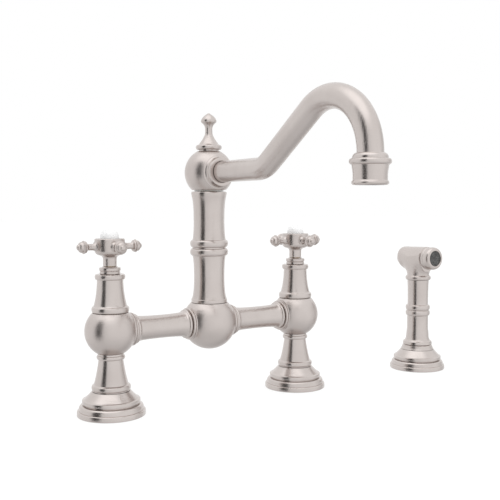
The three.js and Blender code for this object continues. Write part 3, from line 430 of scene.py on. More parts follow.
def flange_outline(bore, fuller):
    outline = Outline(GASKET_OUTER + SEAT, SEAT)
    outline.line(FLANGE_RADIUS, SEAT, rounding=0.5).line(FLANGE_RADIUS, 3.6)
    outline.curve(FLANGE_RADIUS, 5.2, 29.0, 5.2, steps=8)
    outline.curve(29.0, 10.2, 25.7, 10.2).line(24.2, 10.3)
    outline.line(24.2, 11.5).line(25.9 + fuller / 2, 11.6, rounding=0.2)
    outline.line(25.9 + fuller / 2, 14.6, rounding=0.35).line(24.5 + fuller / 2, 14.9)
    outline.curve(20.4 + fuller, 18.4, 17.3 + fuller, FLANGE_TOP, steps=16)
    outline.step(bore, FLANGE_TOP - 3.2).line(HOLLOW_RADIUS, HOLLOW_TOP)
    outline.line(HOLLOW_RADIUS, GASKET_HEIGHT + SEAT)
    return outline.line(GASKET_OUTER + SEAT, GASKET_HEIGHT + SEAT)


for prefix, bore, fuller in (("left", LEG_BORE, 0.0), ("right", LEG_BORE, 0.0),
                             ("spray", HOLDER_BORE, SPRAY_FULLER)):
    on_deck = (*axis_of(f"{prefix}_flange"), 0)
    lathe(f"{prefix}_flange", flange_outline(bore, fuller), nickel_upright, at=on_deck)
    gasket = ring_outline(GASKET_INNER, GASKET_OUTER, 0, GASKET_HEIGHT, rounding=0.3)
    lathe(f"{prefix}_gasket", gasket, rubber, at=on_deck)

# %% [markdown]
# ## Legs and shanks
#
# Above each flange the leg tapers to a waist and ends in a small collar under the valve ball.
# The brass shank inside it brings the water up from the deck.

# %% Legs and shanks
WATERWAY = 6.5
SPIGOT_RADIUS = 9.0
LEG_HEIGHT, SPIGOT_TOP = 33.7, 39.1
SHANK_DEPTH, SHANK_LENGTH = 11.7, 33.1


def leg_outline():
    outline = Outline(LEG_BORE, 0).line(16.8, 0, rounding=0.2).line(16.4, 0.6).bead(1.1, 4.6)
    outline.line(15.4, 6.0).curve(12.6, 15.4, 11.0, 28.4, steps=18)
    outline.line(11.7, 28.4).bead(1.0, 3.6).line(11.7, LEG_HEIGHT, rounding=0.3)
    outline.step(SPIGOT_RADIUS, SPIGOT_TOP).step(WATERWAY, SHANK_DEPTH)
    return outline.line(LEG_BORE, SHANK_DEPTH)


for prefix in ("left", "right"):
    lathe(f"{prefix}_leg", leg_outline(), nickel_upright)
    lathe(f"{prefix}_shank", ring_outline(WATERWAY, LEG_BORE - SEAT, 0, SHANK_LENGTH), brass)

# %% [markdown]
# ## Valve balls and the centre ball
#
# The bodies are balls with a round rim on the side where a bridge tube plugs in. A ball is an
# arc of the outline; the rim is a second turned piece along the bridge, joined to it with an
# exact boolean, and the socket and its port are cut out afterwards.

# %% Balls of the bridge
RIM_RADIUS, RIM_PROUD, RIM_WIDTH = 15.2, 3.6, 4.6
SOCKET_RADIUS, SOCKET_DEPTH = 9.8, 6.0
VALVE_RADIUS, VALVE_BOTTOM_FLAT, VALVE_TOP_FLAT = 23.2, 12.6, 16.2
LEG_SOCKET_RADIUS, LEG_SOCKET_DEPTH = SPIGOT_RADIUS + SEAT, 5.4
CARTRIDGE_BORE, CARTRIDGE_FLOOR = 11.0, -0.8
CENTRE_RADIUS, CENTRE_TOP_FLAT = 25.8, 17.6
CENTRE_POLE = 0.001 - CENTRE_RADIUS  # the ball's arc starts just beside its axis
RECESS_RADIUS, RECESS_DEPTH = 13.5, 2.7
DIVERTER_BORE, DIVERTER_DEPTH = 11.5, 39.0
BORE_START = 5.0  # the two bores of the centre ball stop short of each other
BRIDGE_LEVEL = low("left_valve_body") + flat_height(VALVE_RADIUS, VALVE_BOTTOM_FLAT)


def rim_reach(ball_radius):
    return flat_height(ball_radius, RIM_RADIUS) + RIM_PROUD


def rim_and_socket(name, ball_radius, axis, side, bore_start=0.0):
    """A rim to join to a ball, and a bore to cut out of both."""
    place = {"at": (*axis, BRIDGE_LEVEL), "along": Vector((side, 0, 0))}
    reach = rim_reach(ball_radius)
    root = reach - RIM_PROUD - RIM_WIDTH
    outline = Outline(0, root).step(RIM_RADIUS, reach - 2.6)
    outline.line(RIM_RADIUS - 0.7, reach - 2.2).line(RIM_RADIUS - 0.7, reach - 1.8)
    outline.line(RIM_RADIUS - 0.2, reach - 1.6).line(RIM_RADIUS - 0.2, reach, rounding=0.6)
    rim = turned(f"{name}_rim", outline.line(0, reach), **place)
    bore = Outline(0, bore_start).step(WATERWAY, reach - SOCKET_DEPTH)
    bore.step(SOCKET_RADIUS, ball_radius + RIM_PROUD)
    return rim, turned(f"{name}_bore", bore.line(0, ball_radius + RIM_PROUD), **place)


for prefix, side in (("left", 1), ("right", -1)):
    node = f"{prefix}_valve_body"
    axis = axis_of(f"{prefix}_leg")
    top = flat_height(VALVE_RADIUS, VALVE_TOP_FLAT)
    bottom = -flat_height(VALVE_RADIUS, VALVE_BOTTOM_FLAT)
    outline = Outline(LEG_SOCKET_RADIUS, bottom).ball(VALVE_RADIUS, bottom, top, steps=48)
    outline.line(CARTRIDGE_BORE, top).line(CARTRIDGE_BORE, CARTRIDGE_FLOOR)
    outline.step(WATERWAY, bottom + LEG_SOCKET_DEPTH)
    outline.line(LEG_SOCKET_RADIUS, bottom + LEG_SOCKET_DEPTH)
    ball = turned(f"{node}_turned", outline, at=(*axis, BRIDGE_LEVEL))
    rim, bore = rim_and_socket(node, VALVE_RADIUS, axis, side)
    joined(joined(ball, [rim]), [bore], "DIFFERENCE")
    dress(ball, node, nickel_ball)

top = flat_height(CENTRE_RADIUS, CENTRE_TOP_FLAT)
outline = Outline(0, -CENTRE_RADIUS).ball(CENTRE_RADIUS, CENTRE_POLE, top, steps=60)
outline.line(RECESS_RADIUS, top).line(RECESS_RADIUS, top - RECESS_DEPTH)
outline.step(DIVERTER_BORE, top - DIVERTER_DEPTH).line(0, top - DIVERTER_DEPTH)
centre_ball = turned("centre_body_turned", outline, at=(0, 0, BRIDGE_LEVEL))
sides = [rim_and_socket(f"centre_{name}", CENTRE_RADIUS, (0, 0), side, BORE_START)
         for name, side in (("right", 1), ("left", -1))]
joined(centre_ball, [rim for rim, _ in sides])
joined(centre_ball, [bore for _, bore in sides], "DIFFERENCE")
dress(centre_ball, "centre_body", nickel_ball)

# %% [markdown]
# ## Bridge tubes
#
# Each half of the bridge is a waisted tube with a bead at both ends. It is turned along the
# bridge's axis, and its plugs sit in the sockets of the balls.

# %% Bridge tubes
INLET_HALF = axis_of("right_leg")[0]
BEAD_WIDTH = 3.0


def bridge_outline():
    start = rim_reach(CENTRE_RADIUS) + SEAT
    end = INLET_HALF - rim_reach(VALVE_RADIUS) - SEAT
    middle = (start + end) / 2
    plug, plug_radius = SOCKET_DEPTH - 2 * SEAT, SOCKET_RADIUS - SEAT
    outline = Outline(WATERWAY, start - plug).step(plug_radius, start)
    outline.line(12.6, start).bead(1.1, BEAD_WIDTH)
    outline.line(12.0, start + BEAD_WIDTH + 0.8).curve(10.7, start + 7.0, 10.7, middle, steps=16)
    outline.curve(10.7, end - 7.0, 12.0, end - BEAD_WIDTH - 0.8, steps=16)
    outline.line(12.6, end - BEAD_WIDTH).bead(1.1, BEAD_WIDTH).line(plug_radius, end)
    return outline.line(plug_radius, end + plug).line(WATERWAY, end + plug)


for prefix, side in (("left", -1), ("right", 1)):
    lathe(f"{prefix}_bridge_tube", bridge_outline(), nickel_bridge,
          at=(0, 0, BRIDGE_LEVEL), along=Vector((side, 0, 0)))

# %% [markdown]
# ## Bonnets and gland nuts
#
# The bonnet narrows upwards between two beads and covers the cartridge. The gland nut above it
# keeps the spindle in place, and shows as two thin rings under the handle.

# %% Bonnets and gland nuts
GLAND_SKIRT = 2.4  # how far the nut reaches down into the bonnet
SPINDLE_HOLE = 4.97


def bonnet_outline():
    outline = Outline(13.3, 0).line(15.6, 0).bead(1.1, 5.2)
    outline.line(14.8, 6.0).curve(12.0, 15.0, 11.6, 29.5, steps=18)
    outline.line(12.5, 29.5).bead(1.0, 4.6).line(7.0, 34.1)
    return outline.line(7.0, 30.8).step(9.1, 3.6).line(13.3, 3.6)


def gland_outline():
    outline = Outline(SPINDLE_HOLE, -GLAND_SKIRT).step(6.7, 0)
    outline.line(9.1, 0, rounding=0.4).line(9.1, 2.3, rounding=0.5).line(8.6, 2.5)
    outline.line(8.6, 2.8).line(9.5, 3.0, rounding=0.5).line(9.5, 5.6, rounding=0.5)
    return outline.line(7.4, 5.8).line(6.6, 6.6).line(SPINDLE_HOLE, 6.6)


for prefix in ("left", "right"):
    lathe(f"{prefix}_bonnet", bonnet_outline(), nickel_upright)
    nut = f"{prefix}_gland_nut"
    lathe(nut, gland_outline(), nickel_upright, at=(*axis_of(nut), low(nut) + GLAND_SKIRT))

# %% [markdown]
# ## Cross handles
#
# A hub with a recess for the porcelain cap carries four arms. Each arm leaves a round boss,
# thins to a neck, and ends in a ball with a fine ridge and a small nub. The arms are turned
# along their own axes and joined to the hub.

# %% Handles and caps
ARM_LEVEL = 17.4  # above the bottom of the hub
ARM_WAYS = [Vector((1, 0, 0)), Vector((0, 1, 0)), Vector((-1, 0, 0)), Vector((0, -1, 0))]


def hub_outline():
    outline = Outline(4.8, 0).line(6.1, 0, rounding=0.3).line(6.1, 6.6)
    outline.curve(6.3, 8.9, 9.2, 9.7, steps=8).curve(13.0, 10.6, 13.4, 13.8)
    outline.line(13.4, 23.4).curve(13.4, 24.6, 12.2, 24.6, steps=5)
    outline.line(8.8, 24.6, rounding=0.25).line(8.8, 23.0).step(4.5, 19.9)
    return outline.step(2.8, 18.2).line(4.8, 18.2)


def arm_outline():
    outline = Outline(0, 9.4).step(4.6, 13.2).curve(3.1, 14.2, 2.9, 16.4, steps=8)
    outline.line(2.9, 20.2).curve(3.2, 21.6, 5.1, 22.4, steps=10)
    outline.line(5.4, 23.4, rounding=0.2).line(5.0, 23.7).line(5.9, 24.3, rounding=0.25)
    outline.line(5.9, 24.9, rounding=0.25).line(4.9, 25.4).curve(5.0, 28.2, 2.6, 29.0)
    return outline.curve(2.3, 30.7, 0, 30.7, steps=8)


def cap_outline():
    return Outline(0, 0).step(8.4, 3.0).curve(8.2, 9.8, 0, 9.8, steps=24)


for prefix in ("left", "right"):
    x, y = axis_of(f"{prefix}_leg")
    base = low(f"{prefix}_handle")
    handle = turned(f"{prefix}_handle_turned", hub_outline(), at=(x, y, base))
    arms = [
        turned(f"{prefix}_arm_{i}", arm_outline(), at=(x, y, base + ARM_LEVEL), along=way, sides=48)
        for i, way in enumerate(ARM_WAYS)
    ]
    dress(joined(handle, arms), f"{prefix}_handle", nickel_cast)
    lathe(f"{prefix}_index_cap", cap_outline(), porcelain)

# %% [markdown]
# ## The column
#
# The column is waisted twice, with a pair of bold half-round beads between the waists. Its
# foot sits on the centre ball, and its head carries the washer that the spout turns on.

# %% Column and washer
COLUMN_TOP, COLUMN_BORE = 105.6, 7.2
POST_BORE, POST_SOCKET_FLOOR = 8.3, 87.3
BOLD_BULGE, BOLD_HEIGHT = 2.3, 7.1


def column_outline():
    outline = Outline(COLUMN_BORE, 0).line(17.2, 0, rounding=0.3).line(17.2, 3.2, rounding=0.3)
    outline.line(16.7, 3.5).curve(14.6, 8.8, 14.6, 24.0, steps=16)
    outline.curve(14.6, 39.3, 15.9, 44.7, steps=16).bead(BOLD_BULGE, BOLD_HEIGHT, steps=20)
    outline.line(15.9, 52.7).bead(BOLD_BULGE, BOLD_HEIGHT, steps=20)
    outline.curve(14.7, 65.2, 14.7, 80.0, steps=16)
    outline.curve(14.7, 94.8, 16.4, 100.8, steps=16)
    outline.line(17.1, 104.6, rounding=0.8).line(16.3, COLUMN_TOP, rounding=0.3)
    return outline.step(POST_BORE, POST_SOCKET_FLOOR).line(COLUMN_BORE, POST_SOCKET_FLOOR)


lathe("column", column_outline(), nickel_upright)
lathe("swivel_washer", ring_outline(POST_BORE, 13.8, 0, 0.9), nylon)

# %% [markdown]
# ## The top ball and its finial
#
# The top ball turns on the column and lets the spout out at its side. It is bored from below
# for the swivel post, and along the spout for the tube and its collar.

# %% Top ball, collar and finial
BALL_RADIUS, BALL_BOTTOM_FLAT, BALL_TOP_FLAT = 23.0, 16.2, 11.0
SPOUT_LEVEL = low("top_ball") + flat_height(BALL_RADIUS, BALL_BOTTOM_FLAT)
SPOUT_SLOPE = math.radians(0.7)
TUBE_RADIUS, TUBE_WALL = 9.8, 1.2
TUBE_HOLE, COLLAR_HOLE, COLLAR_SEAT = 10.3, 13.9, 17.4
COLLAR_RADIUS, COLLAR_FACE = 13.4, 25.4
FINIAL_SPIGOT, FINIAL_TOP = 4.0, 35.6


def heading(angle):
    """A direction in the upright plane through the spout, from level towards upright."""
    return Vector((0, -math.cos(angle), math.sin(angle)))


def top_ball_outline():
    top = flat_height(BALL_RADIUS, BALL_TOP_FLAT)
    bottom = -flat_height(BALL_RADIUS, BALL_BOTTOM_FLAT)
    outline = Outline(0, 8.5).step(8.6, bottom).ball(BALL_RADIUS, bottom, top, steps=50)
    return outline.line(5.3, top).line(5.3, top - 4.3).line(0, top - 4.3)


def tube_way_outline():
    outline = Outline(0, 0).step(WATERWAY, 12.7).step(TUBE_HOLE, COLLAR_SEAT)
    return outline.step(COLLAR_HOLE, 24.0).line(0, 24.0)


def collar_outline():
    inner, start = TUBE_RADIUS + SEAT, COLLAR_SEAT + SEAT
    outline = Outline(inner, start).step(COLLAR_HOLE - SEAT, 18.95)
    outline.line(15.3, 17.55).line(15.5, 17.9).curve(13.5, 18.7, COLLAR_RADIUS, 21.4)
    outline.line(COLLAR_RADIUS, COLLAR_FACE, rounding=0.7)
    return outline.line(inner, COLLAR_FACE, rounding=0.2)


def finial_outline():
    outline = Outline(0, -FINIAL_SPIGOT).step(5.0, 0)
    outline.step(9.4, 1.0).line(10.7, 1.1).bead(1.6, 4.6).line(10.2, 5.8)
    outline.curve(9.2, 6.2, 8.5, 7.7, steps=6).curve(5.4, 11.4, 3.7, 15.8, steps=14)
    outline.curve(3.3, 18.4, 3.5, 21.6, steps=6).curve(4.0, 24.6, 6.3, 26.2, steps=10)
    outline.curve(7.7, 27.2, 7.3, 28.8, steps=8).curve(6.3, 32.2, 1.8, 34.8, steps=14)
    return outline.curve(1.2, FINIAL_TOP, 0, FINIAL_TOP, steps=6)


spout_place = {"at": (0, 0, SPOUT_LEVEL), "along": heading(SPOUT_SLOPE)}
top_ball = turned("top_ball_turned", top_ball_outline(), at=(0, 0, SPOUT_LEVEL))
joined(top_ball, [turned("tube_way", tube_way_outline(), **spout_place)], "DIFFERENCE")
dress(top_ball, "top_ball", nickel_ball)
lathe("spout_collar", collar_outline(), nickel_forward, **spout_place)
lathe("finial", finial_outline(), nickel_upright, at=(0, 0, low("finial") + FINIAL_SPIGOT))

# %% [markdown]
# ## The swan-neck spout
#
# A real spout is one tube, bent on two formers. It is made in the same way here: a circle is
# extruded for each straight run and spun round a former's centre for each bend. A curve with a
# round bevel would be shorter, but it only comes near the true radius of the bends.

# %% Spout tube
TUBE_START, RUN_END, REACH, OUTLET_LEVEL = 13.0, 86.1, 230.6, 218.3
BEND_RADIUS, ARCH_RADIUS = 30.0, 45.3
BEND_STEPS, ARCH_STEPS, ROUND_THE_TUBE = 24, 64, 72
RISE = math.radians(34)


def straight(bm, edges, offset):
    made = bmesh.ops.extrude_edge_only(bm, edges=edges)["geom"]
    verts = [v for v in made if isinstance(v, bmesh.types.BMVert)]
    bmesh.ops.translate(bm, vec=offset * MM, verts=verts)
    return [e for e in made if isinstance(e, bmesh.types.BMEdge)]


def bent(bm, edges, centre, angle, steps):
    made = bmesh.ops.spin(bm, geom=edges, cent=centre * MM, axis=(-1, 0, 0), angle=angle,
                          steps=steps)["geom_last"]
    return [e for e in made if isinstance(e, bmesh.types.BMEdge)]


ball_centre = Vector((0, 0, SPOUT_LEVEL))
tube_root = ball_centre + heading(SPOUT_SLOPE) * TUBE_START
bend_start = ball_centre + heading(SPOUT_SLOPE) * RUN_END
bend_centre = bend_start + heading(SPOUT_SLOPE + math.pi / 2) * BEND_RADIUS
bend_end = bend_centre - heading(RISE + math.pi / 2) * BEND_RADIUS
level_run = REACH - ARCH_RADIUS * (1 + math.sin(RISE)) + bend_end.y
arch_start = bend_end + heading(RISE) * level_run / math.cos(RISE)
arch_centre = arch_start - heading(RISE + math.pi / 2) * ARCH_RADIUS
outlet = Vector((0, -REACH, OUTLET_LEVEL))

bm = bmesh.new()
at_root = placing(tube_root, heading(SPOUT_SLOPE))
for radius in (TUBE_RADIUS, TUBE_RADIUS - TUBE_WALL):
    circle = bmesh.ops.create_circle(bm, segments=ROUND_THE_TUBE, radius=radius * MM)["verts"]
    bmesh.ops.transform(bm, matrix=at_root, verts=circle)
    loop = list({e for v in circle for e in v.link_edges})
    loop = straight(bm, loop, bend_start - tube_root)
    loop = bent(bm, loop, bend_centre, RISE - SPOUT_SLOPE, BEND_STEPS)
    loop = straight(bm, loop, arch_start - bend_end)
    loop = bent(bm, loop, arch_centre, -(RISE + math.pi / 2), ARCH_STEPS)
    straight(bm, loop, outlet - (arch_centre + heading(0) * ARCH_RADIUS))
bmesh.ops.remove_doubles(bm, verts=bm.verts, dist=SAME_POINT)
end_edges = open_edges(bm)
for end in (tube_root, outlet):
    near = [e for e in end_edges if (e.verts[0].co - end * MM).length < 1.5 * TUBE_RADIUS * MM]
    bmesh.ops.bridge_loops(bm, edges=near)
bmesh.ops.recalc_face_normals(bm, faces=bm.faces)
dress(new_piece("spout_tube_bent", bm), "spout_tube", nickel_forward)
print("spout reaches", REACH, "mm; centre of its arch:", [round(c, 1) for c in arch_centre])

# %% [markdown]
# ## The nozzle and its aerator
#
# The nozzle is turned with a bold ring under a short cone, and a lip at the outlet. The aerator
# inside it is a dark plastic sleeve over a woven screen, made as a wire grid.

# %% Nozzle and aerator
LIP_START = 0.8  # how far the lip starts above its CAD solid
AERATOR_BORE = 10.4
SCREEN_RADIUS, SCREEN_CELLS, SCREEN_WIRE, SCREEN_MIDDLE = 8.4, 22, 0.28, 0.7


def nozzle_outline():
    outline = Outline(AERATOR_BORE, LIP_START).line(12.4, LIP_START, rounding=0.3)
    outline.line(13.5, 2.0, rounding=0.3).line(13.5, 2.8, rounding=0.3)
    outline.curve(13.1, 3.6, 12.5, 4.4, steps=6).line(12.5, 9.0).line(13.4, 15.2)
    outline.bead(1.9, 4.6, steps=18).line(13.0, 19.8)
    outline.curve(13.0, 22.4, 11.0, 23.4, steps=10).line(10.8, 23.6).line(10.1, 23.6)
    return outline.line(10.1, 15.3).step(WATERWAY, 13.3).line(AERATOR_BORE, 13.3)


lathe("nozzle", nozzle_outline(), nickel_upright)
lathe("aerator_housing", ring_outline(8.8, 10.0, 0, 8.0, rounding=0.3), dark_plastic)

bm = bmesh.new()
bmesh.ops.create_grid(bm, x_segments=SCREEN_CELLS, y_segments=SCREEN_CELLS, size=SCREEN_RADIUS * MM)
outside = [v for v in bm.verts if v.co.length > SCREEN_RADIUS * MM]
bmesh.ops.delete(bm, geom=outside, context="VERTS")
bmesh.ops.wireframe(bm, faces=bm.faces, thickness=SCREEN_WIRE * MM, use_replace=True,
                    use_boundary=True, use_even_offset=True)
screen_place = Vector((0, -REACH, low("aerator_screen") + SCREEN_MIDDLE)) * MM
bmesh.ops.translate(bm, vec=screen_place, verts=bm.verts)
dress(new_piece("aerator_screen_woven", bm), "aerator_screen", steel)

# %% [markdown]
# ## The side spray
#
# The spray rests in a holder on its own flange. The grip has a stepped collar at the foot and a
# pair of small beads at mid height, and the liner and the brass inlet show when it is lifted.

# %% Holder, liner, inlet and grip
HOLDER_HEIGHT, LINER_BORE, LINER_HEIGHT = 5.4, 9.7, 8.8
FOOT_START = HOLDER_HEIGHT - 3.6  # how far the grip's foot starts above its CAD solid
GRIP_BORE, GRIP_HEIGHT = 6.0, 75.2
HOSE_BORE, INLET_RADIUS, NIPPLE_RADIUS, NIPPLE_LENGTH = 3.6, 7.2, 5.7, 6.3


def holder_outline():
    outline = Outline(HOLDER_BORE, 0).line(18.5, 0, rounding=0.2).curve(17.0, 2.4, 16.5, 4.6)
    return outline.line(15.5, HOLDER_HEIGHT).line(HOLDER_BORE, HOLDER_HEIGHT)


def inlet_outline():
    shoulder = low("spray_grip") + FOOT_START - SEAT - low("spray_inlet")
    outline = Outline(HOSE_BORE, 0).line(INLET_RADIUS, 0, rounding=0.6)
    outline.line(INLET_RADIUS, shoulder).step(NIPPLE_RADIUS, shoulder + NIPPLE_LENGTH)
    return outline.line(HOSE_BORE, shoulder + NIPPLE_LENGTH)


def grip_outline():
    outline = Outline(GRIP_BORE, FOOT_START).line(16.4, FOOT_START, rounding=0.5)
    outline.line(15.9, 4.9, rounding=0.4).line(15.2, 5.5).curve(12.6, 6.7, 12.6, 13.0, steps=14)
    outline.line(11.8, 20.6).line(11.8, 34.2).curve(11.8, 34.8, 12.4, 34.8, steps=4)
    outline.bead(1.2, 5.6).line(12.4, 41.0).bead(1.2, 5.6)
    outline.curve(11.5, 46.8, 11.5, 47.6, steps=4).line(11.5, 54.2)
    outline.curve(11.5, 67.6, 12.1, GRIP_HEIGHT, steps=14)
    return outline.line(GRIP_BORE, GRIP_HEIGHT)


lathe("spray_holder", holder_outline(), nickel_upright)
liner_outline = ring_outline(LINER_BORE, HOLDER_BORE - SEAT, 0, LINER_HEIGHT, rounding=0.3)
lathe("spray_liner", liner_outline, nylon)
lathe("spray_inlet", inlet_outline(), brass)
lathe("spray_grip", grip_outline(), nickel_upright)

# %% [markdown]
# ## The spray head
#
# The head is a casting: a barrel on a short neck, with a soft hollow where they meet. Two rough
# solids are joined and remeshed, and every point is then moved onto the smooth blend of a
# rounded cylinder and an upright one, as a pattern maker rubs wax into the corner. A bevel of
# the corner would be shorter, but it tears where the two cylinders run almost side by side.

# %% Spray head
HEAD_AXIS = heading(math.radians(1.8))
HEAD_LEVEL = 24.6
BARREL_RADIUS, BARREL_ROUNDING, NECK_RADIUS, HOLLOW = 13.0, 7.0, 12.3, 9.0
END_LEAN = 0.16  # the rear end leans back at the top
FRONT, REAR, BEYOND = 15.0, -25.0, 24.0
NECK_FOOT = 5.0
ROUGH_FOOT, MOVED_FROM = NECK_FOOT - 4, NECK_FOOT - 3
VOXEL = 0.7
PROBE, PASSES, LEAST_SLOPE = 0.01, 4, 0.2  # how a point is moved onto the blend
FOOT_TOP = NECK_FOOT + 0.2
BEZEL_BORE, BEZEL_SEAT, BEZEL_STEP = 7.2, 12.0, FRONT - 1.1
BUTTON_BORE, STEM_BORE, BUTTON_DEPTH, STEM_DEPTH = 8.6, 2.6, REAR + 6.8, REAR + 10.8
PAST = 1  # how far the cutters reach past the head

spray_axis = axis_of("spray_holder")
head_base = low("spray_head")
head_foot_place = {"at": (*spray_axis, head_base)}
head_place = {"at": (*spray_axis, head_base + HEAD_LEVEL), "along": HEAD_AXIS}
head_middle = Vector(head_place["at"])


def blend_distance(point):
    """How far a point is from the blended barrel and neck, less than nothing inside them."""
    from_middle = point - head_middle
    along = from_middle.dot(HEAD_AXIS)
    side = (from_middle - HEAD_AXIS * along).length - (BARREL_RADIUS - BARREL_ROUNDING)
    half = (BEYOND - REAR) / 2
    leaning = along + END_LEAN * from_middle.z
    end = abs(leaning - (BEYOND + REAR) / 2) - (half - BARREL_ROUNDING)
    barrel = math.hypot(max(side, 0), max(end, 0)) + min(max(side, end), 0) - BARREL_ROUNDING
    neck = max(math.hypot(from_middle.x, from_middle.y) - NECK_RADIUS, from_middle.z)
    soft = max(HOLLOW - abs(barrel - neck), 0) / HOLLOW
    return min(barrel, neck) - soft * soft * HOLLOW / 4


def onto_blend(point):
    for _ in range(PASSES):
        here = blend_distance(point)
        slope = Vector([(blend_distance(point + PROBE * way) - here) / PROBE
                        for way in Matrix.Identity(3)])
        point = point - slope * here / max(slope.length_squared, LEAST_SLOPE)
    return point


neck_outline = ring_outline(0, NECK_RADIUS, ROUGH_FOOT, HEAD_LEVEL)
head = turned("spray_head_cast", neck_outline, **head_foot_place)
outline = Outline(0, REAR).line(9.2, REAR).curve(BARREL_RADIUS, REAR, BARREL_RADIUS, REAR + 9.0)
barrel = turned("barrel", outline.line(BARREL_RADIUS, BEYOND).line(0, BEYOND), **head_place)
joined(head, [barrel])
remesh = head.modifiers.new("wax", "REMESH")
remesh.mode = "VOXEL"
remesh.voxel_size = VOXEL * MM
joined(head, [])  # nothing is joined here, but the remeshed surface becomes the head's own
bm = bmesh.new()
bm.from_mesh(head.data)
for vert in bm.verts:
    if vert.co.z > (head_base + MOVED_FROM) * MM:
        vert.co = onto_blend(vert.co / MM) * MM
cuts = ((Vector((*spray_axis, head_base + NECK_FOOT)), -UP),
        (head_middle + HEAD_AXIS * FRONT, HEAD_AXIS))
for place, outwards in cuts:
    everything = bm.verts[:] + bm.edges[:] + bm.faces[:]
    bmesh.ops.bisect_plane(bm, geom=everything, plane_co=place * MM, plane_no=outwards,
                           clear_outer=True)
    bmesh.ops.holes_fill(bm, edges=open_edges(bm))
bmesh.ops.recalc_face_normals(bm, faces=bm.faces)
bm.to_mesh(head.data)
bm.free()

outline = Outline(0, 0).line(12.9, 0, rounding=0.3).bead(1.3, 4.6).line(NECK_RADIUS + 0.2, FOOT_TOP)
joined(head, [turned("head_foot", outline.line(0, FOOT_TOP), **head_foot_place)])
outline = Outline(BEZEL_SEAT, FRONT - 0.5).line(BARREL_RADIUS + 0.1, BEZEL_STEP)
outline.step(16, FRONT + PAST).line(BEZEL_SEAT, FRONT + PAST)
rebate = turned("rebate", outline, **head_place)
outline = Outline(0, REAR - PAST).step(BUTTON_BORE, BUTTON_DEPTH).step(STEM_BORE, STEM_DEPTH)
outline.step(BEZEL_BORE, FRONT + PAST).line(0, FRONT + PAST)
bore = turned("barrel_bore", outline, **head_place)
feed = turned("feed", ring_outline(0, GRIP_BORE, -PAST, HEAD_LEVEL), **head_foot_place)
joined(head, [rebate, bore, feed], "DIFFERENCE")
dress(head, "spray_head", nickel_cast)
print("spray head:", len(head.data.polygons), "faces")


def bezel_outline():
    start, end = FRONT + SEAT, FRONT + SEAT + 11.6
    outline = Outline(BEZEL_BORE, start).line(12.2, start).line(12.6, start + 0.4)
    outline.line(12.6, start + 2.4).line(12.2, start + 2.8, rounding=0.2)
    outline.line(12.2, start + 3.1, rounding=0.2).line(12.6, start + 3.5)
    outline.line(12.6, end - 4.6).curve(12.6, end - 1.6, 10.7, end - 0.5, steps=14)
    outline.curve(9.9, end, 9.3, end, steps=6).curve(8.5, end, 8.4, end - 1.0, steps=5)
    return outline.step(9.1, end - 3.3).line(BEZEL_BORE, end - 3.3)


lathe("spray_bezel", bezel_outline(), nickel_forward, **head_place)

# %% [markdown]
# ## The spray face and the thumb button
#
# The face is a dark disc with rings of small outlets, which are cut as real holes. The button
# at the back of the barrel is a shallow dome that slides into its bore.

# %% Spray face and button
FACE_BACK, FACE_FRONT, FACE_RADIUS = 23.9, 26.0, 8.3
OUTLET_RADIUS, DRILL_LENGTH = 0.45, 2.0
OUTLET_RINGS = ((0.0, 1), (2.3, 6), (4.5, 12), (6.7, 18))
PLAY = 0.4  # room between the button and its bore
BUTTON_CROWN, BUTTON_EDGE, BUTTON_BACK, STEM_END = REAR - 3.4, REAR - 0.4, REAR + 4.0, REAR + 18.0

outline = Outline(0, FACE_BACK).line(FACE_RADIUS, FACE_BACK)
outline.line(FACE_RADIUS, FACE_FRONT, rounding=0.4).line(0, FACE_FRONT)
face = turned("spray_face_turned", outline, **head_place)
bm = bmesh.new()
for radius, count in OUTLET_RINGS:
    for i in range(count):
        angle = 2 * math.pi * i / count
        across, up = radius * math.cos(angle), radius * math.sin(angle)
        spot = Vector((across, up, FACE_BACK + DRILL_LENGTH)) * MM
        bmesh.ops.create_cone(bm, cap_ends=True, segments=12, radius1=OUTLET_RADIUS * MM,
                              radius2=OUTLET_RADIUS * MM, depth=DRILL_LENGTH * MM,
                              matrix=placing(**head_place) @ Matrix.Translation(spot))
joined(face, [new_piece("outlets", bm)], "DIFFERENCE")
dress(face, "spray_face", dark_plastic)


def button_outline():
    radius, stem_radius = BUTTON_BORE - PLAY, STEM_BORE - PLAY
    outline = Outline(0, BUTTON_CROWN).curve(radius, BUTTON_CROWN, radius, BUTTON_EDGE, steps=16)
    return outline.line(radius, BUTTON_BACK).step(stem_radius, STEM_END).line(0, STEM_END)


lathe("spray_button", button_outline(), nickel_forward, **head_place)

# %% [markdown]
# ## The diverter's spring
#
# A coil of steel wire holds the diverter's piston down. One round section of the wire is spun
# round the axis and climbs a little at every step. A turned sleeve would do from outside, but a
# real coil shows what the piece is.

# %% Diverter spring
COIL_RADIUS, WIRE_RADIUS = 3.6, 0.45
COIL_TURNS, STEPS_PER_TURN = 6, 24
spring_bottom, spring_top = (end.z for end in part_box("diverter_spring"))
climb = spring_top - spring_bottom - 2 * WIRE_RADIUS * MM
coil_steps = COIL_TURNS * STEPS_PER_TURN
first_section = Vector((COIL_RADIUS * MM, 0, spring_bottom + WIRE_RADIUS * MM))
bm = bmesh.new()
section = bmesh.ops.create_circle(
    bm, segments=12, radius=WIRE_RADIUS * MM,
    matrix=Matrix.Translation(first_section) @ Matrix.Rotation(math.pi / 2, 4, "X"))["verts"]
bmesh.ops.spin(bm, geom=list({e for v in section for e in v.link_edges}), cent=(0, 0, 0), axis=UP,
               dvec=(0, 0, climb / coil_steps), angle=2 * math.pi * COIL_TURNS, steps=coil_steps)
bmesh.ops.holes_fill(bm, edges=open_edges(bm))
bmesh.ops.recalc_face_normals(bm, faces=bm.faces)
spring = dress(new_piece("diverter_spring_coiled", bm), "diverter_spring", steel)
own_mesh(spring)

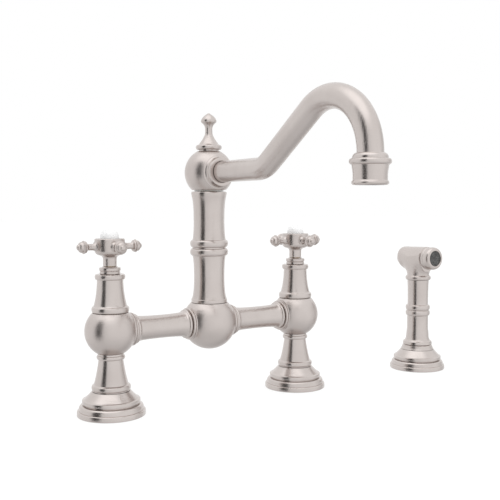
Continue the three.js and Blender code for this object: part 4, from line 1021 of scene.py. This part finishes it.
# %% [markdown]
# ## The pieces inside
#
# The cartridges, discs, spindles, screws, the swivel, the aerator's washer and the diverter's cage
# and piston are closed in. Their CAD solids are right as they are, and only take a finish.

# %% Finish the inner pieces
FINISHES = {"brass": brass, "steel": steel, "ceramic": ceramic, "rubber": rubber, "nylon": nylon}
kept = [node for node, piece in frame["nodes"].items() if not piece.hide_render]
for node in kept:
    frame["nodes"][node].data.materials.clear()
    frame["nodes"][node].data.materials.append(FINISHES[SLOT_OF[node]])
print("CAD meshes kept:", len(kept))

# %% [markdown]
# ## The studio
#
# The object stands in a white room. What gives the metal its shape in the photograph is a single
# dark panel to the left of the camera, which shows as a dark stripe on every upright surface.
# The panel is part of the world, so it hides nothing from any side. The floor is white to the
# camera and keeps a soft shadow.

# %% World
PANEL_DIRECTION = Vector((-0.9735, -0.229, 0)).normalized()
PANEL_SIDE = UP.cross(PANEL_DIRECTION)
PANEL_HALF_WIDTH = math.tan(math.radians(16))
PANEL_BOTTOM, PANEL_TOP = math.tan(math.radians(-24)), math.tan(math.radians(46))
PANEL_SOFTNESS, PANEL_DARK = 0.07, 0.05
SHOULDER, SHOULDER_EDGES = 0.10, (0.35, 0.95)  # how much the wall beside the panel is dimmed
ROOM_FRONT = Vector((-0.5397, -0.8394, 0)).normalized()
ROOM_RIGHT = Vector((0.8411, -0.5409, 0)).normalized()
BACK_DIPS, FLANK_EDGES = (0.08, 0.24), (-0.4, 0.4)  # how much the back wall dims, left and right
BACK_START, BACK_END, BACK_TOP = (-0.15, 0.45), (0.55, 0.9), (0.2, 0.6)
FLOOR_DIP, FLOOR_EDGES = 0.25, (-0.95, -0.15)  # how much darker the floor is straight below
CEILING_LIGHT = Vector((-0.25, -0.1, 0.96)).normalized()
CEILING_GAIN, CEILING_EDGES = 0.45, (0.72, 0.97)
NEARLY_NONE = 0.001
WHITE = (1, 1, 1, 1)

world = bpy.data.worlds.new("studio")
bpy.context.scene.world = world
world.use_nodes = True
tree = world.node_tree
tree.nodes.clear()


def math_node(operation, *values):
    node = add_node(tree, "ShaderNodeMath", dict(enumerate(values)))
    node.operation = operation
    return node.outputs[0]


def product(value, *others):
    for other in others:
        value = math_node("MULTIPLY", value, other)
    return value


def dot_node(direction):
    """How far the view ray runs along a direction."""
    node = add_node(tree, "ShaderNodeVectorMath", {0: ray, 1: direction})
    node.operation = "DOT_PRODUCT"
    return node.outputs["Value"]


def soft_step(value, edges, ends=(0, 1)):
    """Goes softly from one end to the other while a value passes from edge to edge."""
    labels = ("Value", "From Min", "From Max", "To Min", "To Max")
    node = add_node(tree, "ShaderNodeMapRange", dict(zip(labels, (value, *edges, *ends))))
    node.interpolation_type = "SMOOTHSTEP"
    return node.outputs["Result"]


def around(edge, softness=PANEL_SOFTNESS):
    return edge - softness, edge + softness


def choose(tree, seen, lit):
    """One shader for the camera's own rays, and another for the light."""
    camera_ray = tree.nodes.new("ShaderNodeLightPath").outputs["Is Camera Ray"]
    return add_node(tree, "ShaderNodeMixShader", {0: camera_ray, 1: lit, 2: seen}).outputs[0]


ray = tree.nodes.new("ShaderNodeTexCoord").outputs["Generated"]
upwards = dot_node(UP)
backwards = dot_node(-ROOM_FRONT)
to_panel = dot_node(PANEL_DIRECTION)
ahead = math_node("MAXIMUM", to_panel, NEARLY_NONE)
across = math_node("ABSOLUTE", math_node("DIVIDE", dot_node(PANEL_SIDE), ahead))
height = math_node("DIVIDE", upwards, ahead)
panel = product(
    soft_step(across, around(PANEL_HALF_WIDTH), (1, 0)),
    soft_step(height, around(PANEL_BOTTOM)),
    soft_step(height, around(PANEL_TOP, 2 * PANEL_SOFTNESS), (1, 0)),
)
back_wall = product(
    soft_step(backwards, BACK_START),
    soft_step(backwards, BACK_END, (1, 0)),
    soft_step(dot_node(ROOM_RIGHT), FLANK_EDGES, BACK_DIPS),
    soft_step(upwards, BACK_TOP, (1, 0)),
)
walls = math_node("SUBTRACT", math_node("SUBTRACT", 1.0, back_wall),
                  soft_step(to_panel, SHOULDER_EDGES, (0, SHOULDER)))
level = product(
    math_node("ADD", walls, soft_step(dot_node(CEILING_LIGHT), CEILING_EDGES, (0, CEILING_GAIN))),
    soft_step(upwards, FLOOR_EDGES, (1 - FLOOR_DIP, 1)),
    math_node("SUBTRACT", 1.0, panel),
)
level = math_node("MAXIMUM", level, PANEL_DARK)
studio_light = add_node(tree, "ShaderNodeBackground", {"Color": WHITE, "Strength": level})
plain_white = add_node(tree, "ShaderNodeBackground", {"Color": WHITE})
studio = choose(tree, plain_white.outputs[0], studio_light.outputs[0])
add_node(tree, "ShaderNodeOutputWorld", {"Surface": studio})

# %% Floor
FLOOR_HALF = 6.0
FLOOR_COLOUR = (0.92, 0.92, 0.92, 1)
FLOOR_SHADE = 0.22  # how much of the true shadow the floor shows
FLOOR_GLOW = 1.07
bm = bmesh.new()
bmesh.ops.create_grid(bm, x_segments=1, y_segments=1, size=FLOOR_HALF)
floor = new_piece("floor", bm)
floor.visible_glossy = False
floor_material = bpy.data.materials.new("white floor")
floor_material.use_nodes = True
tree = floor_material.node_tree
tree.nodes.clear()
matte = add_node(tree, "ShaderNodeBsdfDiffuse", {"Color": FLOOR_COLOUR}).outputs[0]
glow = add_node(tree, "ShaderNodeEmission", {"Strength": FLOOR_GLOW}).outputs[0]
share = add_node(tree, "ShaderNodeMixShader", {0: 1 - FLOOR_SHADE, 1: matte, 2: glow}).outputs[0]
add_node(tree, "ShaderNodeOutputMaterial", {"Surface": choose(tree, share, matte)})
floor.data.materials.append(floor_material)

# %% [markdown]
# ## Lamps
#
# Two large soft lamps give matte surfaces their shape and the floor its shadow. They are hidden
# from reflections, where the room does the work.

# %% Lamps and view
LAMPS = (("key", (-0.9, -1.3, 1.6), 5.0, 1.2), ("fill", (1.3, -0.9, 1.2), 2.5, 1.4))
LAMP_TARGET = Vector((0.05, -0.05, 0.12))
for name, place, power, size in LAMPS:
    lamp_data = bpy.data.lights.new(name, "AREA")
    lamp_data.energy = power
    lamp_data.size = size
    lamp = bpy.data.objects.new(name, lamp_data)
    lamp.location = place
    lamp.rotation_euler = (LAMP_TARGET - Vector(place)).to_track_quat("-Z", "Y").to_euler()
    lamp.visible_glossy = False
    bpy.context.scene.collection.objects.link(lamp)

bpy.context.scene.view_settings.view_transform = "Standard"
